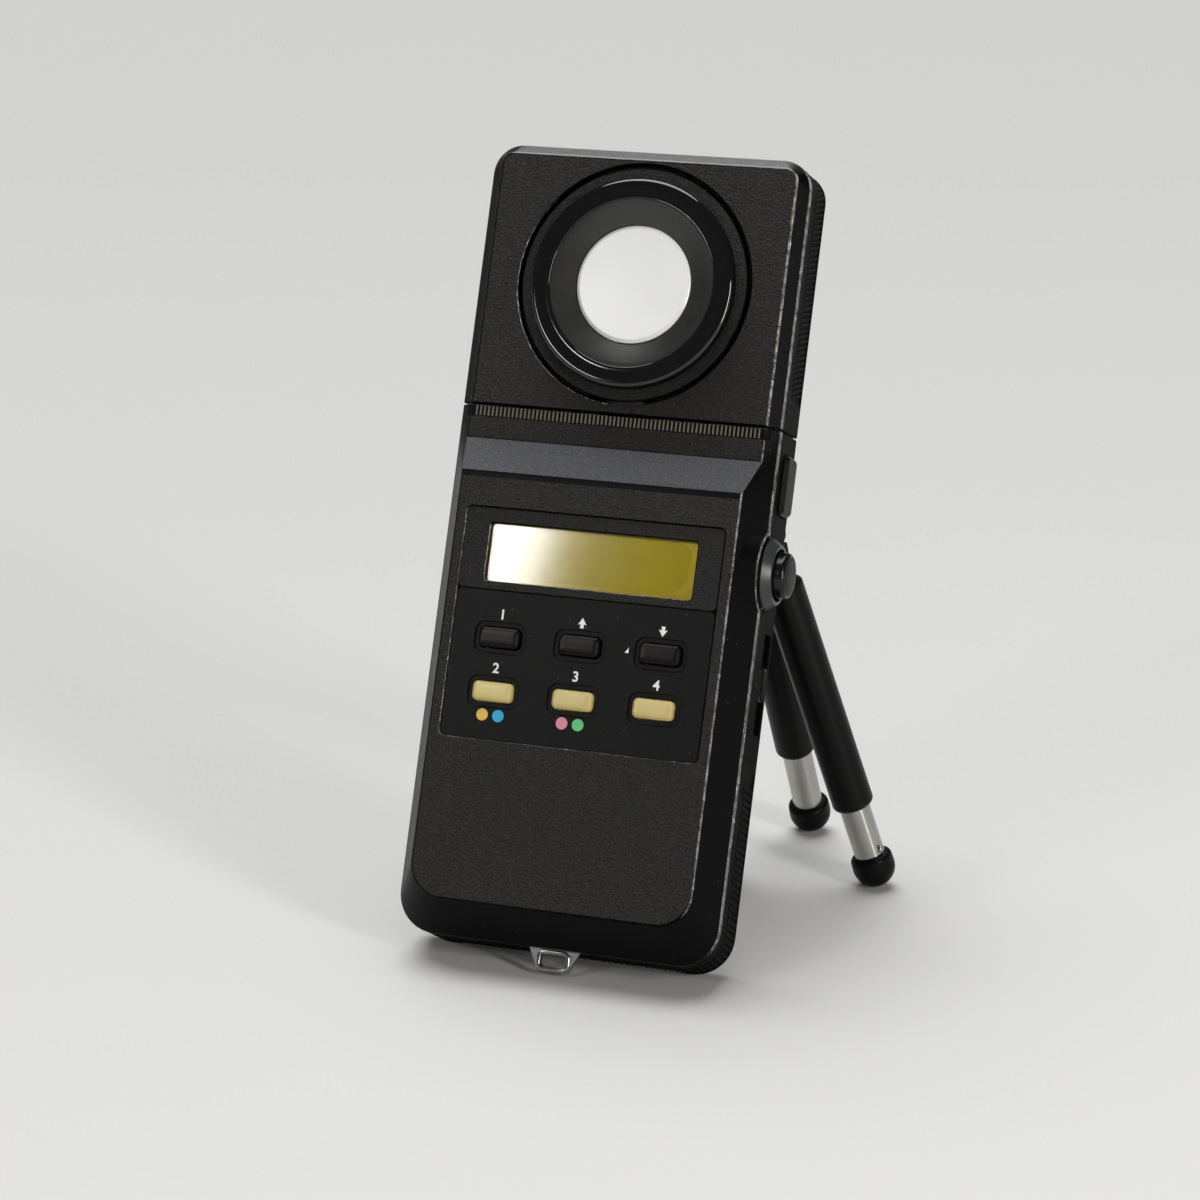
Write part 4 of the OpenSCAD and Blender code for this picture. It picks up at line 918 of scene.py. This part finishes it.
def front_shells():
    side_wall = WALL * hypot(1, (HALF_W - FACE_HALF) / RIM_Y)
    chin_wall = WALL * hypot(1, CHIN_H / RIM_Y)
    cavity = body_front_form(side_wall, FACE_WALL, chin_wall, BODY_H - JOINT_WALL, SEAM_Y + 1, False)
    lip = lathe(fillet([(0, HALF_W - 4), (BOSS_R + 2.8, HALF_W - 4), (BOSS_R + 1.05, HALF_W, 0.4),
                        (0, HALF_W)]), SIDE, (0, BUTTON_Y, BUTTON_Z))
    behind = block((0, HALF_W + 5), (SEAM_Y, SEAM_Y + 20), around(BUTTON_Z, 20), 0)
    recess = pocket(pad(PANEL_HALF, (PANEL_TOP - PANEL_Z) / 2, 1.3, 0, (PANEL_TOP + PANEL_Z) / 2),
                    PANEL_RECESS, 0, 0.22)
    boss_hole = pocket(disc(BOSS_R + 0.25, BUTTON_Y, BUTTON_Z, 96), HALF_W - 7, HALF_W, 0.2, SIDE)
    strip_seat = block((-BROW_HALF - 1, BROW_HALF + 1), (BROW_STEP - 1, BROW_STEP + 1.2),
                       (BODY_H - 2.5, BODY_H + 1), 0)
    openings = [block((-24.45, 24.45), (0.5, 4), around(DISPLAY_Z, 7.4), 0)]
    openings += [block(around(x, 4.75), (0.5, 4), around(z, 2.35), 0)
                 for x in KEY_COLUMNS for z in KEY_ROWS]
    bm = body_front_form(0, 0, 0, BODY_H, SEAM_Y, True)
    bm = carve(bm, (CUT, [cavity]), (JOIN, [lip]), (CUT, [behind]),
               (CUT, [recess, boss_hole, strip_seat]), (CUT, openings))
    bmesh.ops.bisect_plane(bm, geom=[*bm.verts, *bm.edges, *bm.faces],
                           plane_co=(0, 0, CREST_Z - CREST_BAND), plane_no=(0, 0, 1))
    piece("front_casing", bm, "body", FRONT_SURFACES, "body_front_shell", pick=front_pick)

    def head_ring(share, inset):
        return outline(mix(BROW_HALF, HALF_W, share) - inset, HEAD_Z + min(inset, JOINT_R),
                       HEAD_TOP - HEAD_TOP_BEVEL * (1 - share) - inset, JOINT_R,
                       max(mix(HEAD_FACE_CORNER_R, HEAD_CORNER_R, share) - inset, 0.1), 12)

    slope = RIM_Y - BROW_STEP
    rings = []
    for k in range(5):
        u = k / 4
        share = u * u * EDGE_R / slope
        y = BROW_STEP + share * slope
        rings.append(at_depth(head_ring(share, EDGE_R * (1 - u) ** 2), y))
    lip = [(LIP_STEP, RIM_Y - LIP_STEP), (0, RIM_Y, 0.15), (0, SEAM_Y, LIP_R), (WALL, SEAM_Y)]
    rings += [at_depth(head_ring(1, inset), y) for inset, y in fillet(lip, 3)[:-1]]
    inner = outline(HALF_W - WALL, HEAD_Z + JOINT_WALL, HEAD_TOP - WALL, 0.5, HEAD_CORNER_R - WALL, 12)
    rings += [at_depth(inner, y) for y in (SEAM_Y, BROW_STEP + FACE_WALL)]
    opening = pocket(disc(OPENING_R, 0, RECEPTOR_Z, 160), SEAM_Y + 1, BROW_STEP, 0.3)
    bm = carve(skin(rings), (CUT, [opening]))
    piece("head_front_casing", bm, "head", FRONT_SURFACES, "head_front_shell",
          pick=front_pick)


# Panel
def strip():
    half = BROW_HALF - 0.9
    count = 70
    pitch = 2 * half / count
    z1 = BODY_H - STRIP_GAP
    z0 = z1 - STRIP_H
    bed = BROW_STEP + 0.45
    bars = [block((-half, half), (bed, BROW_STEP + 1.2), (z0, z1), 0)]
    for k in range(count):
        x = -half + pitch * (k + 0.5)
        line = fillet([(x - 0.16, bed + 0.05), (x - 0.16, BROW_STEP - 0.05, 0.15),
                       (x + 0.16, BROW_STEP - 0.05, 0.15), (x + 0.16, bed + 0.05)], 3)
        bars.append(skin([[(px, max(py, BROW_STEP - 0.05 + sink), z) for px, py in line] for z, sink in
                          ((z0, 0.1), (z0 + 0.12, 0.0), (z1 - 0.12, 0.0), (z1, 0.1))]))
    piece("joint_strip", solid(*bars), "body", [STRIP, SATIN], "ribbed_strip",
          pick=lambda centre, normal: 1 if centre.y > bed - 0.02 else 0)


def flat_plate(z0, z1, y0, r=0.15):
    """A plate in the panel's recess, with a rounded front edge."""
    shape = pad(PANEL_HALF - 0.1, (z1 - z0) / 2, 1.1, 0, (z0 + z1) / 2)
    return rows_form(shape, fillet([(r + 0.01, y0), (0, y0, r), (0, PANEL_RECESS)], 3))


def key_plate():
    bm = flat_plate(PANEL_Z + 0.1, PLATE_TOP, PLATE_Y)
    wells = [pocket(pad(KEY_HALF + WELL_MARGIN, KEY_HALF_H + WELL_MARGIN, KEY_R + 0.96, x, z),
                    PLATE_Y + WELL_DEPTH, PLATE_Y, 0.2) for x in KEY_COLUMNS for z in KEY_ROWS]
    holes = [pocket(pad(KEY_HALF + 0.25, KEY_HALF_H + 0.25, KEY_R + 0.1, x, z), PANEL_RECESS + 1,
                    PLATE_Y + WELL_DEPTH, 0.1) for x in KEY_COLUMNS for z in KEY_ROWS]
    bm = carve(bm, (CUT, wells), (CUT, holes))
    piece("key_panel", bm, "body", PANEL, "key_plate")


def display():
    bm = flat_plate(PLATE_TOP + 0.2, PANEL_TOP - 0.1, SURROUND_Y)
    hole = pocket(pad(DISPLAY_HALF, DISPLAY_HALF_H, 0.8, 0, DISPLAY_Z), PANEL_RECESS + 1, SURROUND_Y, 0.3)

    def by_hole(centre, normal):
        near = abs(centre.x) < DISPLAY_HALF + 0.35 and abs(centre.z - DISPLAY_Z) < DISPLAY_HALF_H + 0.35
        return int(near and -0.98 < normal.y < -0.05)

    piece("display_bezel", carve(bm, (CUT, [hole])), "body", [TEXTURED, EDGE],
          "display_surround", pick=by_hole)

    front, back = WINDOW_Y
    window = rows_form(pad(DISPLAY_HALF + 1, DISPLAY_HALF_H + 1, 0.8, 0, DISPLAY_Z),
                       fillet([(0.2, front), (0, front, 0.12), (0, back, 0.12), (0.2, back)], 2))
    piece("clear_window", window, "body", WINDOW, "display_window",
          pick=lambda centre, normal: 1 if normal.y > 0 else 0)

    glass = rows_form(pad(DISPLAY_HALF + 1.1, DISPLAY_HALF_H + 1.1, 0.5, 0, DISPLAY_Z),
                      fillet([(0.3, 2.7), (0, 2.7, 0.12), (0, 3.55), (0.25, 3.6), (0.25, 3.75), (0, 3.8),
                              (0, 4.6, 0.12), (0.3, 4.6)], 2))
    piece("display_glass", glass, "body", LCD_EDGE, "lcd_glass")

    low = DISPLAY_Z - DISPLAY_HALF_H + 1.0
    high = DISPLAY_Z + DISPLAY_HALF_H + 0.8
    line = [(-24.2, low), (14.5, low)]
    for k in range(1, 9):
        line.append((14.5 + 5.6 * k / 8, low + 1.6 * (k / 8) ** 2 + 0.12 * sin(5.1 * k)))
    line += [(20.3, low + 2.6), (21.2, low + 3.6), (21.1, low + 5.2)]
    for k in range(6):
        a = rad(90 * k / 5)
        line.append((17.6 + 3.9 * cos(a), high - 3.9 + 3.0 * sin(a)))
    line += [(14.0, high), (-24.2, high)]
    film = skin([at_depth(line, y) for y in FILM_Y])
    piece("display_film", film, "body", LCD_FILM)


def key_cap(name, x, z, black):
    """A key: a rounded cap on a flange."""
    flange = [(0.3, 3.4), (-0.9, 3.4), (-0.9, 2.6), (0, 2.6)]
    if black:
        rim = [(0, KEY_TOP + 0.5, 0.25), (0.45, KEY_TOP + 0.04, 0.3), (1.0, KEY_TOP)]
    else:
        rim = [(0.02, -0.15, 0.3), (0.5, KEY_TOP + 0.05, 0.4), (1.1, KEY_TOP)]
    cap = fillet([(0, 2.6), *rim, (1.6, KEY_TOP)])
    bm = rows_form(pad(KEY_HALF, KEY_HALF_H, KEY_R, x, z, 8), flange + cap)
    slot, material = ("dark_key", BLACK_KEY) if black else ("cream_key", CREAM_KEY)
    piece(f"{name}_cap", bm, f"{name}_key", material, f"{name}_key")


def keys():
    for k, name in enumerate(("film", "up", "down", "balance", "compensation", "kelvin")):
        key_cap(name, KEY_COLUMNS[k % 3], KEY_ROWS[k // 3], k < 3)


# Printed signs: plain numbers, arrows and dots
def number(text, size):
    """A flat number about its middle."""
    curve = bpy.data.curves.new("number", "FONT")
    curve.body = text
    curve.size = size
    curve.align_x = "CENTER"
    curve.align_y = "CENTER"
    curve.extrude = 0.03
    curve.offset = 0.06
    o = placed("number", curve)
    bm = shown(o)
    bpy.data.objects.remove(o)
    bpy.data.curves.remove(curve)
    bmesh.ops.remove_doubles(bm, verts=bm.verts, dist=1e-4)
    return bm


def flat_sign(points, x, z):
    return skin([[(x + px, y, z + pz) for px, pz in points] for y in (INK_Y, PLATE_Y + 0.02)])


def signs():
    arrow = [(-0.95, -0.35), (-0.3, -0.2), (-0.45, -1.05), (0.45, -1.05), (0.3, -0.2), (0.95, -0.35),
             (0, 1.15)]
    parts = []
    top_z = KEY_ROWS[0] + SIGN_RISE - 0.1
    low_z = KEY_ROWS[1] + SIGN_RISE
    for text, column, z in (("1", 0, top_z), ("2", 0, low_z), ("3", 1, low_z), ("4", 2, low_z)):
        bm = number(text, 3.0)
        bm.transform(Matrix.Translation((KEY_COLUMNS[column], PLATE_Y - 0.01, z)) @ FACE)
        parts.append(bm)
    parts.append(flat_sign(arrow, KEY_COLUMNS[1], top_z))
    parts.append(flat_sign([(x, -z) for x, z in arrow], KEY_COLUMNS[2], top_z))
    triangle = [(-0.45, -0.55), (0.35, -0.55), (0.35, 0.6)]
    parts.append(flat_sign(triangle, KEY_COLUMNS[2] - 7.4, KEY_ROWS[0] + 0.2))
    piece("printed_signs", solid(*parts), "body", INK)
    for k, material in enumerate(DOT_INKS):
        x = KEY_COLUMNS[k // 2] + (1.8 if k % 2 else -1.8)
        line = [(0, INK_Y), (1.1, INK_Y), (1.3, INK_Y + 0.02), (1.3, PLATE_Y + 0.02), (0, PLATE_Y + 0.02)]
        dot = lathe(line, FACE, (x, 0, KEY_ROWS[1] - SIGN_RISE), 40)
        piece(f"dot_{k + 1}", dot, "body", material)


# Receptor
def receptor():
    centre = (0, 0, RECEPTOR_Z)
    plate = lathe(fillet([(18.8, 5.5), (PLATE_R, 5.5, 0.3), (PLATE_R, 8.1), (27.4, 8.1), (27.4, 9.3),
                          (18.8, 9.3)]), FACE, centre, 160, close=True)
    room = block((-HALF_W, HALF_W), (SWIVEL_Y - 6.4, BODY_D), (BODY_H, HEAD_Z + 4.0), 0)
    plate = carve(plate, (CUT, [room]))
    piece("receptor_ring", plate, "head", TEXTURED, "receptor_plate")

    bezel = fillet([(18.75, 7.1), (RIM_R, 7.1), (RIM_R, BEZEL_TOP + 0.1, 0.3),
                    (19.2, BEZEL_TOP + 0.12, 0.3), (BEZEL_R - 0.15, BEZEL_TOP, 1.7), (BEZEL_R, 5.5),
                    (18.75, 5.5)], 7)
    piece("glossy_bezel", lathe(bezel, FACE, centre, 192, close=True), "head", GLOSS,
          "bezel_ring", sharp=50)

    dish = fillet([(12.95, 5.6), (13.2, 5.55), (15.4, 4.55), (17.4, 3.85, 0.5), (18.25, 3.62), (18.25, 4.5),
                   (12.95, 6.5)], 3)
    piece("dish_cone", lathe(dish, FACE, centre, 160, close=True), "head", DISH, "baffle_cone")

    disc_line = fillet([(0, 5.0), (9.0, 5.03), (DISC_R - 0.7, 5.05, 0.4), (DISC_R - 0.35, 5.45, 0.2),
                        (DISC_R, 5.7, 0.25), (DISC_R, 6.6), (13.8, 6.6), (13.8, 7.4), (0, 7.4)])
    piece("white_disc", lathe(disc_line, FACE, centre, 160), "head", OPAL, "diffuser")


# Side controls
def side_controls():
    centre = (0, BUTTON_Y, BUTTON_Z)
    cap = fillet([(0, 26.9), (1.4, 26.9), (1.4, 31.6), (5.9, 31.6), (5.9, 32.8, 0.15), (BUTTON_R, 32.8),
                  (BUTTON_R, BUTTON_TIP - 0.3, 1.25), (2.6, BUTTON_TIP), (0, BUTTON_TIP)], 8)
    piece("measuring_cap", lathe(cap, SIDE, centre, 96), "measure_button", [BUTTON, RUBBER],
          "measure_button", pick=lambda centre, normal: int(normal.x > 0.97))

    bore = BUTTON_R + 0.7
    collar = fillet([(bore, HALF_W - 0.1), (COLLAR_R, HALF_W - 0.1), (COLLAR_R, HALF_W + 0.4, 0.2),
                     (bore + 0.6, COLLAR_TIP, 0.3), (bore, COLLAR_TIP, 0.15)])
    piece("button_collar", lathe(collar, SIDE, centre, 96, close=True), "body", COLLAR,
          "measure_collar")

    knob = [rows_form(pad(2.2, 3.7, 0.7, SLIDE_Y, SLIDE_Z),
                      fillet([(0, HALF_W - 0.9), (0, HALF_W + 0.1, 0.3), (0.6, HALF_W + 0.1)]), SIDE),
            block((33.3, 35.2), around(SLIDE_Y, 0.6), around(SLIDE_Z, 1.5), 0.1)]
    for k in range(6):
        rib = block((HALF_W - 0.1, HALF_W + 0.42), (-1.75, 1.75), (-0.26, 0.26), 0.14)
        place = Matrix.Translation((0, SLIDE_Y, SLIDE_Z - 2.75 + 1.1 * k))
        rib.transform(place @ Matrix.Rotation(rad(-28), 4, "X"))
        knob.append(rib)
    piece("slide_thumb", solid(*knob), "slide_knob", RUBBER, "slide_knob")

    cover = rows_form(pad(3.9, 6.5, 1.6, COVER_Y, COVER_Z, 8),
                      fillet([(0, HALF_W - 0.78), (0, HALF_W + 0.35, 0.3), (0.75, HALF_W + 1.12, 0.4),
                              (1.9, HALF_W + 1.2)], 5), SIDE)
    piece("cover_pad", cover, "body", RUBBER, "terminal_cover")


def eyelet():
    """A strap loop: a tapered plate whose slot has a thick rolled rim."""
    front, back, middle = 9.2, 10.4, -2.5
    line = fillet([(-5.65, 1.7), (-5.65, -0.2, 0.8), (-3.5, -4.9, 0.9), (3.5, -4.9, 0.9), (5.65, -0.2, 0.8),
                   (5.65, 1.7)], 5)

    def shape(inset):
        return [(x - copysign(inset, x), z - copysign(inset, z - middle)) for x, z in line]

    plate = rows_form(shape, fillet([(0.25, front), (0, front, 0.24), (0, back, 0.24), (0.25, back)]))
    slot = rows_form(pad(2.9, 1.5, 0.9, 0, middle, 8), [(0, front - 2), (0, back + 2)])
    rim = fillet([(0.9, front - 0.02), (0.86, front - 0.5, 0.42), (-0.04, front - 0.5, 0.42),
                  (-0.04, 10.0, 0.2), (0.9, 10.0)], 6)
    ring = pad(3.74, 2.26, 1.6, 0, middle, 8)
    roll = skin([at_depth(ring(inset), y) for inset, y in rim], close=True)
    piece("strap_loop", solid(carve(plate, (CUT, [slot])), roll), "body",
          [STEEL, CHROME], "strap_eyelet", pick=lambda centre, normal: int(centre.y < front - 0.01))


def battery_lid():
    """The sliding cover on the back, with a ribbed thumb patch."""
    shape = pad(LID_HALF, (LID_TOP + 1.0) / 2, 0.5, 0, (LID_TOP - 1.0) / 2)
    top = [(0, BODY_D - WALL + 0.1), (0, BODY_D - 0.2), (0.1, BODY_D - 0.06), (0.3, BODY_D)]
    bm = rows_form(shape, top)
    for v in bm.verts:
        low = v.co.z - (0.6 - HEEL_DROP)
        if low < BACK_R and v.co.y > BODY_D - BACK_R:
            limit = BODY_D - BACK_R + sqrt(max(BACK_R ** 2 - (BACK_R - low) ** 2, 0))
            v.co.y = min(v.co.y, max(limit, BODY_D - WALL + 0.12))
    dip = pocket(pad(9.0, 4.2, 1.5, 0, THUMB_Z), BODY_D - 0.5, BODY_D, 0.3)
    bm = carve(bm, (CUT, [dip]))
    ribs = [block((-8.2, 8.2), (BODY_D - 0.62, BODY_D - 0.08), around(z, 0.35), 0.2)
            for z in (THUMB_Z + rise for rise in (-3.0, -1.8, -0.6, 0.6, 1.8, 3.0))]
    piece("battery_lid", solid(bm, *ribs), "battery_cover", BACK, "battery_cover")


# Stand
def stand():
    at = (SOCKET_X, 0, SOCKET_Z)
    screw = fillet([(0, BODY_D - 5.5), (2.6, BODY_D - 5.5), (3.1, BODY_D - 5.0), (3.1, BODY_D + 0.1),
                    (7.6, BODY_D + 0.1, 0.25), (7.6, BODY_D + 2.1, 0.35), (3.2, BODY_D + 2.1, 0.6),
                    (2.2, BODY_D + 3.4, 0.6), (2.2, BODY_D + 7.8)])
    ball = BODY_D + 12.3
    for k in range(17):
        a = rad(mix(26, 180, k / 16))
        screw.append((BALL_R * sin(a) if k < 16 else 0.0, ball - BALL_R * cos(a)))
    bm = lathe(screw, FACE, at, 144, flutes=36, flute_depth=0.3, fluted=(BODY_D + 0.5, BODY_D + 1.9))
    piece("socket_screw", bm, "stand_mount", STEEL, "stand_screw", sharp=40)

    cup = lathe(fillet([(0, CUP_LOW), (CUP_R, CUP_LOW, 0.4), (CUP_R, CUP_HIGH, 0.8), (5.0, CUP_HIGH),
                        (0, CUP_HIGH)], 5), segments=96)
    hollow = bmesh.new()
    bmesh.ops.create_uvsphere(hollow, u_segments=48, v_segments=32, radius=BALL_R + 0.08)
    slot = block((-2.5, 2.5), (-CUP_R - 1, 2.5), (-2.6, CUP_HIGH + 1), 0.6)
    bore = lathe([(1.56, -CUP_R - 1), (1.56, 0)], SIDE, (0, 0, 0), 32)
    cup = carve(cup, (CUT, [hollow]), (CUT, [slot]), (CUT, [bore]))
    piece("ball_socket", cup, "stand_head", STAND_BLACK, "ball_cup", STAND)

    far = CUP_R + 5.4
    knob = fillet([(0, -far), (3.2, -far, 0.3), (4.15, -far + 0.9, 0.3), (4.15, -CUP_R - 0.9, 0.3),
                   (3.4, -CUP_R - 0.4), (1.5, -CUP_R - 0.4), (1.5, -5.3), (0, -5.3)])
    bm = lathe(knob, SIDE, (0, 0, 0), 144, flutes=18, flute_depth=0.45, fluted=(-far + 0.8, -CUP_R - 1.1))
    piece("clamp_grip", bm, "clamp_knob", STAND_BLACK, "clamp_knob", STAND)

    disc_line = fillet([(0, -HUB_DROP + 3.4), (10.0, -HUB_DROP + 3.4, 0.4), (10.0, CUP_LOW - 0.02, 0.5),
                        (0, CUP_LOW - 0.02)])
    hub = lathe(disc_line, segments=96)
    core = lathe(fillet([(0, -HUB_DROP - 2.4), (4.2, -HUB_DROP - 2.4, 0.5), (4.2, -HUB_DROP + 3.6),
                         (0, -HUB_DROP + 3.6)]), segments=64)
    ears = []
    bores = []
    for i in (1, 2, 3):
        place = STAND.inverted() @ LEGS[i].translation
        turn = Matrix.Translation(place) @ Matrix.Rotation(atan2(place.y, place.x), 4, "Z")
        for side in (-1, 1):
            ear = block((-4.4, 2.0), (-0.825, 0.825), (-2.4, 3.6), 0.35)
            ear.transform(turn @ Matrix.Translation((0, side * 2.425, 0)))
            ears.append(ear)
        bore = lathe([(1.03, -4.2), (1.03, 4.2)], FACE, (0, 0, 0), 24)
        bore.transform(turn)
        bores.append(bore)
    hub = carve(hub, (JOIN, [core]), (JOIN, ears[0::2]), (JOIN, ears[1::2]), (CUT, bores))
    piece("leg_hub", hub, "stand_head", STAND_BLACK, "tripod_hub", STAND)


def leg(i):
    top = -4.0
    end = -SLEEVE_L
    sleeve = fillet([(BORE_R, end + 2), (BORE_R, end + 0.25, 0.15), (4.0, end, 0.3),
                     (SLEEVE_R, end + 0.9, 0.9), (SLEEVE_R, top - 1.5, 1.2), (3.0, top)], 5)
    body = lathe([(0, end + 2)] + sleeve + [(0, top)], segments=72)
    bore = lathe([(BORE_R, end - 1), (BORE_R, -9)], segments=48)
    tongue = rows_form(pad(2.2, 3.2, 2.15, 0, -1.0, 8),
                       fillet([(0.3, -1.5), (0, -1.5, 0.2), (0, 1.5, 0.2), (0.3, 1.5)], 3), FACE)
    hole = lathe([(1.06, -3), (1.06, 3)], FACE, (0, 0, 0), 24)
    bm = carve(body, (JOIN, [tongue]), (CUT, [bore, hole]))
    piece(f"leg_{i}_sleeve", bm, f"leg_{i}", STAND_BLACK, f"leg_sleeve_{i}", LEGS[i])

    foot = -leg_length(i)
    catch_at = (0, 0, foot + FOOT_R - 0.4)
    tube = lathe(fillet([(0, foot - 1.5), (TUBE_R, foot - 1.5), (TUBE_R, foot + 44.5, 0.4),
                         (0, foot + 44.5)]), segments=72)
    catch = lathe(fillet([(0, TUBE_R + 0.01), (0.8, TUBE_R + 0.01), (0.8, TUBE_R + 0.7, 0.3),
                          (0, TUBE_R + 0.7)]), SIDE, catch_at, 24)
    piece(f"leg_{i}_rod", solid(tube, catch), f"leg_{i}_end", drawn_chrome(i),
          f"leg_tube_{i}", LEGS[i])

    line = []
    r = FOOT_R - 0.006
    for k in range(17):
        a = rad(mix(180, 90, k / 16))
        line.append((r * sin(a) if k else 0.0, foot + r * cos(a)))
    line += fillet([(r, foot), (r - 0.1, foot + 2.6, 1.6), (TUBE_R + 0.03, foot + 3.3, 0.1),
                    (TUBE_R + 0.03, foot - 1.5)], 6)[1:]
    line.append((0, foot - 1.5))
    ball = lathe(line, segments=72)
    room = lathe([(0.9, 0), (0.9, TUBE_R + 2)], SIDE, catch_at, 24)
    piece(f"leg_{i}_ball", carve(ball, (CUT, [room])), f"leg_{i}_end", RUBBER,
          f"leg_foot_{i}", LEGS[i])


# CAD nodes that stay, with their finish and softened edges
KEPT = (
    (WHITE_PLASTIC, ("display_frame", "slide_switch")),
    (RUBBER, ("contact_strips",)),
    (SILICONE, ("key_mat",)),
    (BOARD, ("main_board", "sensor_board")),
    (CHIP, ("processor_chip", "amplifier_chips", "measure_switch", "accessory_socket", "battery_snap",
            "neck_tube", "filter_holder")),
    (BATTERY_CASE, ("battery",)),
    (BRASS, ("socket_insert",)),
    (STEEL, ("case_screws", "head_screws", "neck_clip", "leg_pins")),
    (FILTER, ("color_filters",)),
    (CELL, ("photocells",)),
)


def kept_nodes():
    for material, names in KEPT:
        for o in (frame["nodes"][name] for name in names):
            finish(o, material)


def finish(o, material):
    o.data.materials[0] = material
    soft = o.modifiers.new("soft edges", "BEVEL")
    soft.width = 0.08 * MM
    soft.segments = 2
    soft.limit_method = "ANGLE"
    soft.angle_limit = rad(50)


# Floor, lights and camera
def floor():
    bm = bmesh.new()
    bmesh.ops.create_grid(bm, x_segments=1, y_segments=1, size=40.0)
    o = to_object(bm, "floor")
    material = surface("pale floor", (206, 206, 204), (0.78, 0.8), mottle=60.0, vary=0.998)
    o.data.materials.append(material)


def lamp(name, at, towards, size, power, tint=(1, 1, 1)):
    data = bpy.data.lights.new(name, "AREA")
    data.shape = "RECTANGLE"
    data.size, data.size_y = size
    data.energy = power
    data.color = tint
    o = placed(name, data)
    o.location = at
    o.rotation_euler = (Vector(towards) - Vector(at)).to_track_quat("-Z", "Y").to_euler()


def mirrored(x, y, z):
    """Where the camera's ray goes after it meets the face plane at that place of the meter."""
    at = METER @ Vector((x, y, z))
    normal = -Vector(METER.col[1][:3]).normalized()
    ray = (at - Vector(CAMERA_AT)).normalized()
    return at, ray - 2 * ray.dot(normal) * normal


def lights():
    # The display mirrors the key in its left part: the key's right edge stands in that part's ray
    at, way = mirrored(*GLARE_AT)
    left = way.cross(Vector((0, 0, 1))).normalized()
    up = left.cross(way).normalized()
    middle = at + way * KEY_LAMP_AWAY + left * KEY_LAMP_SIZE[0] / 2 + up * KEY_LAMP_RISE
    lamp("key", middle, at, KEY_LAMP_SIZE, 1.6, (1, 0.98, 0.95))
    lamp("right", (1.0, -0.62, 0.4), (0.02, 0, 0.1), (0.16, 0.62), 8.0, (1, 0.97, 0.92))
    sky = bpy.data.lights.new("sky", "SUN")
    sky.energy = 2.9
    sky.angle = rad(50)
    placed("sky", sky).rotation_euler = Vector((-0.2, 0.24, 0.95)).to_track_quat("Z", "Y").to_euler()
    studio()


def studio():
    """A dim room whose far walls are as pale as the floor."""
    world = bpy.data.worlds.new("studio")
    world.use_nodes = True
    tree = world.node_tree
    height = node(tree, "ShaderNodeSeparateXYZ", {"Vector": coordinates(tree, "Generated")}).outputs["Z"]
    wall = spread(tree, height, 0.07, 0.16, 1, 0)
    color = blend(tree, wall, (0.12, 0.12, 0.12, 1), (0.65, 0.65, 0.64, 1))
    tree.links.new(color, tree.nodes["Background"].inputs["Color"])
    bpy.context.scene.world = world


def camera():
    data = bpy.data.cameras.new("camera")
    data.lens = CAMERA_LENS
    data.sensor_width = 36.0
    data.clip_end = 50.0
    o = placed("camera", data)
    o.location = CAMERA_AT
    o.rotation_euler = (rad(90 - CAMERA_ELEVATION), 0, rad(CAMERA_AZIMUTH))
    bpy.context.scene.camera = o


camera()
front_shells()
rear_shells()
strip()
key_plate()
display()
keys()
signs()
receptor()
side_controls()
eyelet()
battery_lid()
stand()
for leg_number in (1, 2, 3):
    leg(leg_number)
kept_nodes()
floor()
lights()
bpy.context.scene.view_settings.view_transform = "Standard"
